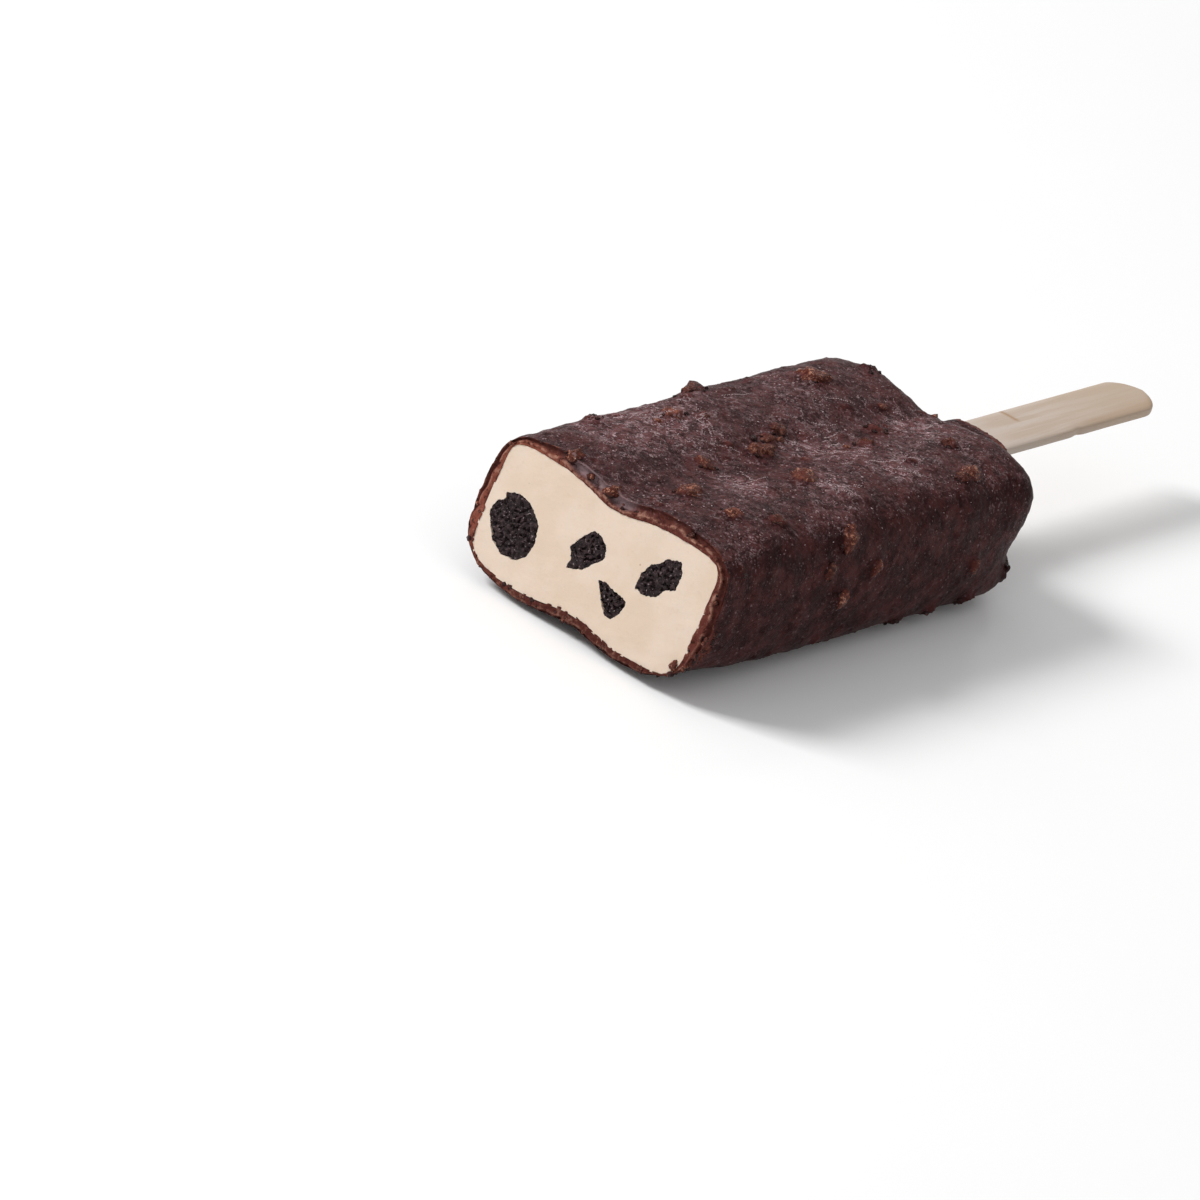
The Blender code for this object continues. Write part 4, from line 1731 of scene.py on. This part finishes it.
@dataclass
class FrostAndGlintFlakes:
    """Tiny flakes of frost and crumb dust on the chocolate, and the thin curved wisps of frost; the pale ones
    are partly painted glints and sheen.
    """

    count: int = 2600
    sizes: tuple[float, float] = (0.14 * MM, 0.50 * MM)
    fine_wisps: int = 40
    fine_length: tuple[float, float] = (1 * MM, 3.5 * MM)
    pace: float = 0.22 * MM
    scatter: float = 0.06 * MM
    missing: float = 0.12

    HEADING = -20
    # Each row: where a wisp starts, along and across in millimetres, the way it sets off in degrees,
    # its length in millimetres, and how far it bends in degrees.
    WISPS = (
        (36.0, 12.6, -80, 7.0, -60), (37.5, 12.4, -85, 5.0, -50), (49.0, 3.0, -35, 7.0, -70),
        (52.0, -1.0, -75, 4.0, 40), (49.0, -2.6, -15, 12.0, -12), (55.0, -9.5, -22, 9.0, 14),
        (57.0, -12.5, -30, 7.0, -20), (24.5, -4.6, -14, 9.0, 16), (28.5, -6.0, 30, 5.0, 50),
        (40.0, -11.6, -60, 5.0, 50), (42.0, -13.0, -20, 4.0, -30), (30.0, 7.6, -26, 9.0, -16),
        (26.0, 16.0, -20, 8.0, 14), (58.0, 4.6, -30, 6.0, 30), (66.0, 9.0, -20, 7.0, -16),
        (76.5, -2.0, -40, 5.0, 60), (71.0, -8.0, -14, 7.0, -30), (48.0, 16.0, -18, 7.0, 14),
    )

    def build(self, coating: ChocolateCoating) -> bpy.types.Object:
        """Scatters the flakes over the skin and joins them to one mesh.

        Args:
            coating: the built coating.

        Returns:
            The new object.
        """
        draw = random.Random(SEED + 2)
        form, faces = ball(1)
        form = form / 2
        skin = coating.skin_points
        clustered = coating.frost_and_sheen**2 * smooth_step(noise_at(skin, 3 * MM, 2, 31.0), -0.1, 0.25)
        along, across = np.gradient(skin, axis=0), np.gradient(skin, axis=1)
        out = unit(np.cross(across, along))
        if out[len(out) // 2, :, 2] @ skin[len(out) // 2, :, 2] < 0:
            out = -out
        heap = Heap()
        while len(heap.points) < self.count:
            row, column = draw.randrange(len(skin)), draw.randrange(skin.shape[1])
            normal = out[row, column]
            chance = 0.03 + max(normal[2], 0) * (0.05 + 0.9 * clustered[row, column])
            if skin[row, column, 2] < 1.5 * MM or draw.random() > chance:
                continue
            length = draw.uniform(*self.sizes) * draw.uniform(0.5, 1)
            size = length * np.array([1.0, draw.uniform(0.3, 0.6), 0.35])
            # Paler on upward faces: frost and painted glints.
            tone = draw.random() * (0.35 + 0.65 * max(normal[2], 0))
            self.lay(heap, form, faces, skin[row, column], normal, draw.uniform(0, math.tau), size, tone)
        surface = LumpMap(skin).surface
        for x, y, heading, length, bend in self.WISPS:
            self.lay_wisp(heap, form, faces, surface, (x * MM, y * MM), heading, length * MM, bend, draw)
        for _ in range(self.fine_wisps):
            x, y, radius, _ = draw.choice(coating.FROST_AND_SHEEN_PATCHES[:6])
            turn, reach = draw.uniform(0, math.tau), radius * math.sqrt(draw.random())
            start = ((x + reach * math.cos(turn)) * MM, (y + reach * math.sin(turn)) * MM)
            heading = draw.gauss(self.HEADING, 30)
            length = draw.uniform(*self.fine_length)
            self.lay_wisp(heap, form, faces, surface, start, heading, length, draw.gauss(0, 60), draw)
        return heap.join("frost_and_glint_flakes")

    def lay(
        self, heap: Heap, form: Array, faces: list[list[int]], place: Array, normal: Array, spin: float,
        size: Array, tone: float,
    ) -> None:
        """Lays one flake.

        Args:
            heap: what it is added to.
            form: points of a ball one unit across.
            faces: the ball's faces.
            place: the flake's middle.
            normal: the direction out of the skin.
            spin: how far it is turned about that direction.
            size: its length, width and thickness.
            tone: how pale it is, from 0 to 1.
        """
        turn = Vector(normal).to_track_quat("Z", "Y").to_matrix() @ Matrix.Rotation(spin, 3, "Z")
        crumpled = form * (1 + 0.6 * noise_at(form, 0.35, 1, len(heap.points) * 1.7))[:, None]
        heap.add(place + (crumpled * size) @ np.array(turn).T, faces, np.full(len(form), tone))

    def lay_wisp(
        self, heap: Heap, form: Array, faces: list[list[int]], surface: BVHTree, start: tuple[float, float],
        heading: float, length: float, bend: float, draw: random.Random,
    ) -> None:
        """Lays a curved line of flakes on top of the bar.

        Args:
            heap: what it is added to.
            form: points of a ball one unit across.
            faces: the ball's faces.
            surface: the skin.
            start: where the line starts, along and across the bar.
            heading: the way it sets off, in degrees from the bar's length.
            length: how long it is.
            bend: how far it turns on its way, in degrees.
            draw: random numbers.
        """
        x, y = start
        steps = max(4, int(length / self.pace))
        for step in range(steps):
            angle = math.radians(heading + bend * step / steps)
            x += self.pace * math.cos(angle)
            y += self.pace * math.sin(angle)
            if draw.random() < self.missing:
                continue
            spot = Vector((x + draw.gauss(0, self.scatter), y + draw.gauss(0, self.scatter), SKIN.length))
            place, normal, _, _ = surface.ray_cast(spot, Vector((0, 0, -1)))
            if place is None:
                continue
            taper = math.sin(math.pi * (step + 0.5) / steps)
            size = np.array([0.36, 0.08 + 0.10 * taper * draw.random(), 0.10]) * MM
            normal = normal if normal.z > 0 else -normal
            self.lay(heap, form, faces, np.array(place), np.array(normal), 0.0, size, draw.uniform(0.5, 1.0))

    def dress(self, flakes: bpy.types.Object) -> None:
        """Gives the flakes their finish; they ride with the coating.

        Args:
            flakes: the flakes' object.
        """
        flakes.data.materials.append(FlakeFinish().material())
        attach(flakes, BODY)


@dataclass
class CookieChunk:
    """One dark cookie chunk that the cut goes through; middle, outline and depth are in millimetres."""

    number: int
    middle: tuple[float, float]
    outline: tuple[tuple[float, float], ...]
    depth: float
    taper: float = 2.4
    end: float = 0.3
    around: int = 150
    face_rings: int = 26
    side_rings: int = 14
    ragged: float = 0.14 * MM
    rough: float = 0.13 * MM
    pits: float = 0.5 * MM
    sunk: float = 0.02 * MM

    def corners(self) -> Array:
        """The outline as many evenly spaced points round its middle, slightly ragged.

        Returns:
            The points across the cut, from the chunk's middle.
        """
        corners = np.array(self.outline) * MM
        closed = np.concatenate([corners, corners[:1]])
        walked = np.concatenate([[0], np.cumsum(np.linalg.norm(np.diff(closed, axis=0), axis=1))])
        spots = np.arange(self.around) * walked[-1] / self.around
        ring = np.stack([np.interp(spots, walked, closed[:, axis]) for axis in range(2)], axis=-1)
        for _ in range(3):
            ring = (np.roll(ring, 1, 0) + 2 * ring + np.roll(ring, -1, 0)) / 4
        flat = np.concatenate([np.zeros((self.around, 1)), ring + np.array(self.middle) * MM], axis=1)
        ragged = self.ragged * noise_at(flat, 0.55 * MM, 2, self.number)
        return ring + unit(ring) * ragged[:, None]

    def rings(self, cut: Cut, first: float, shrink: float = 0.0) -> Array:
        """The chunk's sections from a distance before the cut to its blunt inner end.

        Args:
            cut: the plane of the cut.
            first: where the first one lies.
            shrink: how much smaller each is.

        Returns:
            The rings of points.
        """
        ring = self.corners()
        ring = ring - unit(ring) * shrink
        rings = []
        for share in np.linspace(0, 1, self.side_rings):
            inwards = first + (self.depth * MM - first) * share
            scale = max(self.end, math.sqrt(max(0, 1 - max(0, inwards / (self.depth * MM)) ** self.taper)))
            y, z = (ring * scale + np.array(self.middle) * MM).T
            rings.append(np.stack([cut.along(z) + inwards, y, z], axis=-1))
        return np.array(rings)

    def pocket(self, cut: Cut) -> bpy.types.Object:
        """A body that takes the chunk's room out of the ice cream."""
        return grid_mesh(f"pocket_{self.number}", self.rings(cut, -2 * MM, 0.06 * MM))

    def build(self, cut: Cut) -> bpy.types.Object:
        """Makes the chunk: a rough cut face with pits, and rough sides that narrow inwards.

        Args:
            cut: the plane of the cut.

        Returns:
            The new object.
        """
        sides = self.rings(cut, 0.0)
        middle = sides[0].mean(axis=0)
        share = np.linspace(0, 1, self.face_rings + 1)[1:-1, None, None]
        face = middle + (sides[0][None] - middle) * share
        points = np.concatenate([face, sides])
        rough = self.rough * noise_at(points, 0.7 * MM, 4, self.number)
        pits = self.pits * smooth_step(noise_at(points, 0.6 * MM, 3, self.number + 5.0), 0.10, 0.45)
        points = points + cut.facing() * (rough - pits - self.sunk)[..., None]
        return grid_mesh(f"cookie_chunk_{self.number}_fine", points)

    def dress(self, chunk: bpy.types.Object, finish: bpy.types.Material) -> None:
        """Gives the chunk its finish, hangs it on the bar's body and hides the imported chunk.

        Args:
            chunk: the chunk's object.
            finish: the cookie's material.
        """
        chunk.data.materials.append(finish)
        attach(chunk, BODY)
        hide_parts(f"cookie_chunk_{self.number}")


CHUNKS = (
    CookieChunk(
        1, (15.8, 11.2),
        ((5.1, 0.2), (4.4, 2.2), (3.0, 3.2), (3.6, 4.0), (1.2, 5.0), (-1.4, 4.6), (-4.2, 2.4),
         (-5.1, -0.6), (-4.4, -3.4), (-2.6, -4.9), (0.0, -5.1), (2.6, -3.8)),
        8.0,
    ),
    CookieChunk(
        2, (1.7, 13.6),
        ((3.2, -0.4), (1.8, 2.0), (0.2, 3.9), (-1.6, 3.6), (-3.0, 2.4), (-3.4, 0.6), (-2.0, -1.0),
         (-0.4, -2.8), (2.4, -3.8), (2.2, -2.0)),
        5.5,
    ),
    CookieChunk(
        3, (-5.4, 9.4),
        ((3.3, 1.6), (1.9, 1.9), (0.2, 1.5), (-1.6, 1.3), (-2.9, 0.9), (-3.0, -0.2), (-2.3, -1.8),
         (-1.5, -2.9), (-0.2, -2.8), (1.0, -1.7), (1.9, -0.4)),
        4.5,
    ),
    CookieChunk(
        4, (-12.2, 16.5),
        ((3.5, -3.6), (3.6, -1.2), (2.4, 1.2), (1.2, 1.8), (0.2, 3.2), (-2.4, 4.0), (-3.4, 2.4),
         (-3.4, -0.6), (-1.6, -1.4), (-0.6, -3.2), (1.6, -3.9)),
        6.0,
    ),
)


@dataclass
class IceCreamCore:
    """The ice cream: a fine cut face with faint knife marks, and a body that fills the coating."""

    around: int = 176
    rings: int = 10
    cell: float = 0.35 * MM
    relief: float = 0.05 * MM
    overlap: float = 0.12 * MM
    before_cut: float = 6 * MM
    block_half_width: float = 27 * MM
    block_height: float = 30 * MM
    block_below: float = 2 * MM
    block_length: float = 110 * MM
    slot_clearance: float = 0.1 * MM

    def build(self, cut: Cut, chunks: tuple[CookieChunk, ...]) -> bpy.types.Object:
        """Makes the body, trims it at the cut face, and takes out the chunks' pockets and the slot.

        Args:
            cut: the plane of the cut.
            chunks: the cookie chunks.

        Returns:
            The new object.
        """
        form = replace(
            CAVITY, side=CAVITY.side - self.overlap, top=CAVITY.top - self.overlap,
            bottom=CAVITY.bottom - self.overlap,
        )
        turns = form.even_turns(self.around)[None, :]
        straight = np.linspace(-self.before_cut, form.straight_end() - form.end, self.rings)[:, None]
        none = np.zeros((1, 1))
        body, _ = form.surface(straight, turns, none, none)
        ends, narrowed, lowered = (part[:, None] for part in form.end_steps(6))
        rounded, _ = form.surface(ends, turns, narrowed, lowered)
        core = grid_mesh("ice_cream_fine", np.concatenate([body, rounded]))
        combine(core, self.behind_cut(cut), "INTERSECT")
        for chunk in chunks:
            combine(core, chunk.pocket(cut), "DIFFERENCE")
        combine(core, self.slot(), "DIFFERENCE")
        core.data.shade_smooth()
        core.data.set_sharp_from_angle(angle=math.radians(50))
        return core

    def behind_cut(self, cut: Cut) -> bpy.types.Object:
        """A block that holds all that lies behind the cut; its front is the fine relief of the cut face.

        Args:
            cut: the plane of the cut.

        Returns:
            The new object.
        """
        half_width, height = self.block_half_width, self.block_height
        across = np.linspace(-half_width, half_width, int(2 * half_width / self.cell))
        up = np.linspace(-self.block_below, height - self.block_below, int(height / self.cell))
        y, z = np.meshgrid(across, up)
        front = np.stack([cut.along(z), y, z], axis=-1)
        marks = front * np.array([1, 0.25, 1.0]) + np.array([0, 0, 0.35]) * front[..., 1:2]
        height = self.relief * (noise_at(front, 4 * MM, 3) + 0.7 * noise_at(marks, 1.2 * MM, 2, 4.0))
        front = front + cut.facing() * height[..., None]
        rows, columns = y.shape
        index = np.arange(rows * columns).reshape(rows, columns)
        quads = np.stack([index[:-1, :-1], index[:-1, 1:], index[1:, 1:], index[1:, :-1]], axis=-1)
        faces = quads.reshape(-1, 4).tolist()
        edge = np.concatenate([index[0, :], index[1:, -1], index[-1, -2::-1], index[-2:0:-1, 0]])
        back = front.reshape(-1, 3)[edge] + np.array([self.block_length, 0, 0])
        first = rows * columns
        count = len(edge)
        for step in range(count):
            after = (step + 1) % count
            faces.append([int(edge[step]), int(edge[after]), first + after, first + step])
        faces.append([first + step for step in range(count)])
        return mesh_object("behind_cut", np.concatenate([front.reshape(-1, 3), back]), faces)

    def slot(self) -> bpy.types.Object:
        """The room that the stick takes up in the ice cream.

        Returns:
            The new object.
        """
        along = np.linspace(STICK.tip - STICK.length - 0.05 * MM, SKIN.length + 2 * MM, 24)
        half = STICK.half_width(along) + self.slot_clearance
        outline = np.concatenate([np.stack([along, half], -1), np.stack([along[::-1], -half[::-1]], -1)])
        depth = STICK.thickness / 2 + self.slot_clearance
        levels = STICK.height + np.array([-depth, depth])
        rings = [np.concatenate([outline, np.full((len(outline), 1), level)], axis=1) for level in levels]
        return grid_mesh("slot", np.array(rings))

    def dress(self, core: bpy.types.Object) -> None:
        """Gives the ice cream its finish, hangs it on the bar's body and hides the imported ice cream.

        Args:
            core: the ice cream's object.
        """
        core.data.materials.clear()
        core.data.materials.append(IceCreamFinish().material())
        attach(core, BODY)
        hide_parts("ice_cream")


@dataclass
class BirchStick:
    """The flat stick: softly rounded edges, fibres, a small scar and a nick in its lower edge."""

    stations: int = 260
    around: int = 48
    scar_at: float = 115.9 * MM
    scar_length: float = 0.42 * MM
    nick_at: float = 126 * MM
    nick_length: float = 1.1 * MM
    nick: float = 0.3 * MM
    fibres: float = 0.02 * MM
    root_tone: tuple[float, float] = (105 * MM, 112 * MM)
    tip_tone: tuple[float, float] = (116 * MM, 148 * MM)
    worn_edge: tuple[float, float] = (122 * MM, 132 * MM)

    def build(self) -> bpy.types.Object:
        """Makes the stick as sections from its root to its tip.

        Returns:
            The new object.
        """
        radius = STICK.width / 2
        root = STICK.tip - STICK.length
        bend = np.linspace(0, math.pi / 2, 14)
        first = root + radius * (1 - np.cos(bend))
        last = STICK.tip - radius * (1 - np.cos(bend[::-1]))
        middle = np.linspace(root + radius, STICK.tip - radius, self.stations)[1:-1]
        along = np.concatenate([first[1:], middle, last[:-1]])[:, None]
        turns = (np.arange(self.around) / self.around * math.tau)[None, :]
        across, up = np.cos(turns), np.sin(turns)
        half_width = STICK.half_width(along)
        straight = np.maximum(half_width - STICK.edge, 0.02 * MM)
        rounding = np.minimum(STICK.edge, half_width)
        reach = (np.abs(across) ** 6 + np.abs(up) ** 6) ** (-1 / 6)
        y = straight * across * reach + rounding * across
        z = (STICK.thickness / 2 - STICK.edge) * up * reach + STICK.edge * up
        y, z, along = np.broadcast_arrays(y, z, along)
        y = y.copy()
        nick = self.nick * np.exp(-(((along - self.nick_at) / self.nick_length) ** 2))
        y += np.where(y < -3 * MM, nick, 0)
        points = np.stack([along, y, STICK.height + z], axis=-1)
        streaks = points * np.array([0.06, 1, 1])
        points[..., 2] += self.fibres * noise_at(streaks, 0.5 * MM, 2) * np.sign(up)
        stick = grid_mesh("stick_fine", points)
        stick.data.set_sharp_from_angle(angle=math.radians(60))
        scar = np.exp(-(((along - self.scar_at) / self.scar_length) ** 2)) * (up > 0)
        scar = scar * smooth_step(y, 0.4 * MM, 1.4 * MM) * (1 - smooth_step(y, 4.5 * MM, 4.9 * MM))
        arris = np.exp(-(((across + up) / 0.3) ** 2)) * (up > 0) * smooth_step(along, *self.worn_edge)
        paint(stick, "scar", np.maximum(scar, 0.45 * arris))
        paint(stick, "tip", smooth_step(along, *self.tip_tone))
        paint(stick, "root", 1 - smooth_step(along, *self.root_tone))
        return stick

    def dress(self, stick: bpy.types.Object) -> None:
        """Gives the stick its finish, hangs it on the bar's body and hides the imported stick.

        Args:
            stick: the stick's object.
        """
        stick.data.materials.append(BirchFinish().material())
        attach(stick, BODY)
        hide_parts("stick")


@dataclass(frozen=True)
class SoftLight:
    """One square soft light, aimed at the bar."""

    name: str
    towards: tuple[float, float, float]
    power: float
    size: float
    distance: float = 1.5

    def build(self) -> None:
        """Hangs the light."""
        light = bpy.data.lights.new(self.name, "AREA")
        light.energy = self.power
        light.size = self.size
        lamp = bpy.data.objects.new(self.name, light)
        bpy.context.scene.collection.objects.link(lamp)
        towards = Vector(self.towards).normalized()
        lamp.location = towards * self.distance
        lamp.rotation_mode = "QUATERNION"
        lamp.rotation_quaternion = towards.to_track_quat("Z", "Y")


@dataclass
class Studio:
    """A pale floor, an even white surround, a large soft light from the upper left and one from behind."""

    floor_half: float = 3.0
    surround: float = 0.58
    lights: tuple[SoftLight, ...] = (
        SoftLight("key", (-0.52, 0.66, 0.72), 19.5, 0.5),
        SoftLight("back", (0.80, 0.42, 0.50), 1.2, 0.2),
    )

    def build(self) -> None:
        """Lays the floor and hangs the lights."""
        side = self.floor_half
        corners = np.array([(-side, -side, 0), (side, -side, 0), (side, side, 0), (-side, side, 0)])
        floor = mesh_object("floor", corners, [[0, 1, 2, 3]])
        floor.data.materials.append(FloorFinish().material())
        world = bpy.data.worlds.new("surround")
        bpy.context.scene.world = world
        world.use_nodes = True
        sky = world.node_tree.nodes["Background"]
        sky.inputs["Color"].default_value = (1, 1, 1, 1)
        sky.inputs["Strength"].default_value = self.surround
        for light in self.lights:
            light.build()


@dataclass
class PhotoCamera:
    """The camera, where the photograph was taken from."""

    azimuth: float = -58.987
    elevation: float = 24.036
    roll: float = 18.125
    distance: float = 1751.9 * MM
    lens: float = 330.24
    sensor: float = 36
    far: float = 10
    aim: tuple[float, float, float] = (27.59 * MM, 13.197 * MM, -6.409 * MM)

    def build(self, origin: Vector) -> None:
        """Places the camera and makes it the scene's.

        Args:
            origin: the place of the bar's own zero.
        """
        turn, tilt = math.radians(self.azimuth), math.radians(self.elevation)
        ahead = Vector((-math.sin(turn) * math.cos(tilt), math.cos(turn) * math.cos(tilt), -math.sin(tilt)))
        level = ahead.cross(Vector((0, 0, 1))).normalized()
        above = level.cross(ahead)
        roll = math.radians(self.roll)
        right = level * math.cos(roll) + above * math.sin(roll)
        up = right.cross(ahead)
        lens = bpy.data.cameras.new("photo_camera")
        lens.sensor_width = self.sensor
        lens.lens = self.lens
        lens.clip_end = self.far
        camera = bpy.data.objects.new("photo_camera", lens)
        bpy.context.scene.collection.objects.link(camera)
        place = origin + Vector(self.aim) - ahead * self.distance
        camera.matrix_world = Matrix.Translation(place) @ Matrix((right, up, -ahead)).transposed().to_4x4()
        bpy.context.scene.camera = camera


def main() -> None:
    """Builds every piece in order and reports each."""
    logging.basicConfig(level=logging.INFO, format="%(name)s: %(message)s")
    place = BarFrame()
    cut = Cut()
    bpy.context.scene.view_settings.view_transform = "Standard"
    coating_maker = ChocolateCoating()
    coating = coating_maker.build(cut)
    coating_maker.dress(coating)
    place.settle(coating)
    log.info("coating: %d lumps, %d faces", len(coating_maker.lumps), len(coating.data.polygons))
    crumb_maker = CrispCrumbs()
    crumbs = crumb_maker.build(coating_maker, cut)
    crumb_maker.dress(crumbs)
    place.settle(crumbs)
    log.info("crisp crumbs: %d faces", len(crumbs.data.polygons))
    flake_maker = FrostAndGlintFlakes()
    flakes = flake_maker.build(coating_maker)
    flake_maker.dress(flakes)
    place.settle(flakes)
    log.info("frost flakes: %d faces", len(flakes.data.polygons))
    core_maker = IceCreamCore()
    core = core_maker.build(cut, CHUNKS)
    core_maker.dress(core)
    place.settle(core)
    log.info("ice cream: %d faces", len(core.data.polygons))
    cookie = CookieFinish().material()
    for maker in CHUNKS:
        chunk = maker.build(cut)
        maker.dress(chunk, cookie)
        place.settle(chunk)
        log.info("cookie chunk %d: %d faces", maker.number, len(chunk.data.polygons))
    stick_maker = BirchStick()
    stick = stick_maker.build()
    stick_maker.dress(stick)
    place.settle(stick)
    log.info("stick: %d faces", len(stick.data.polygons))
    Studio().build()
    PhotoCamera().build(place.origin())


if __name__ == "__main__":
    main()
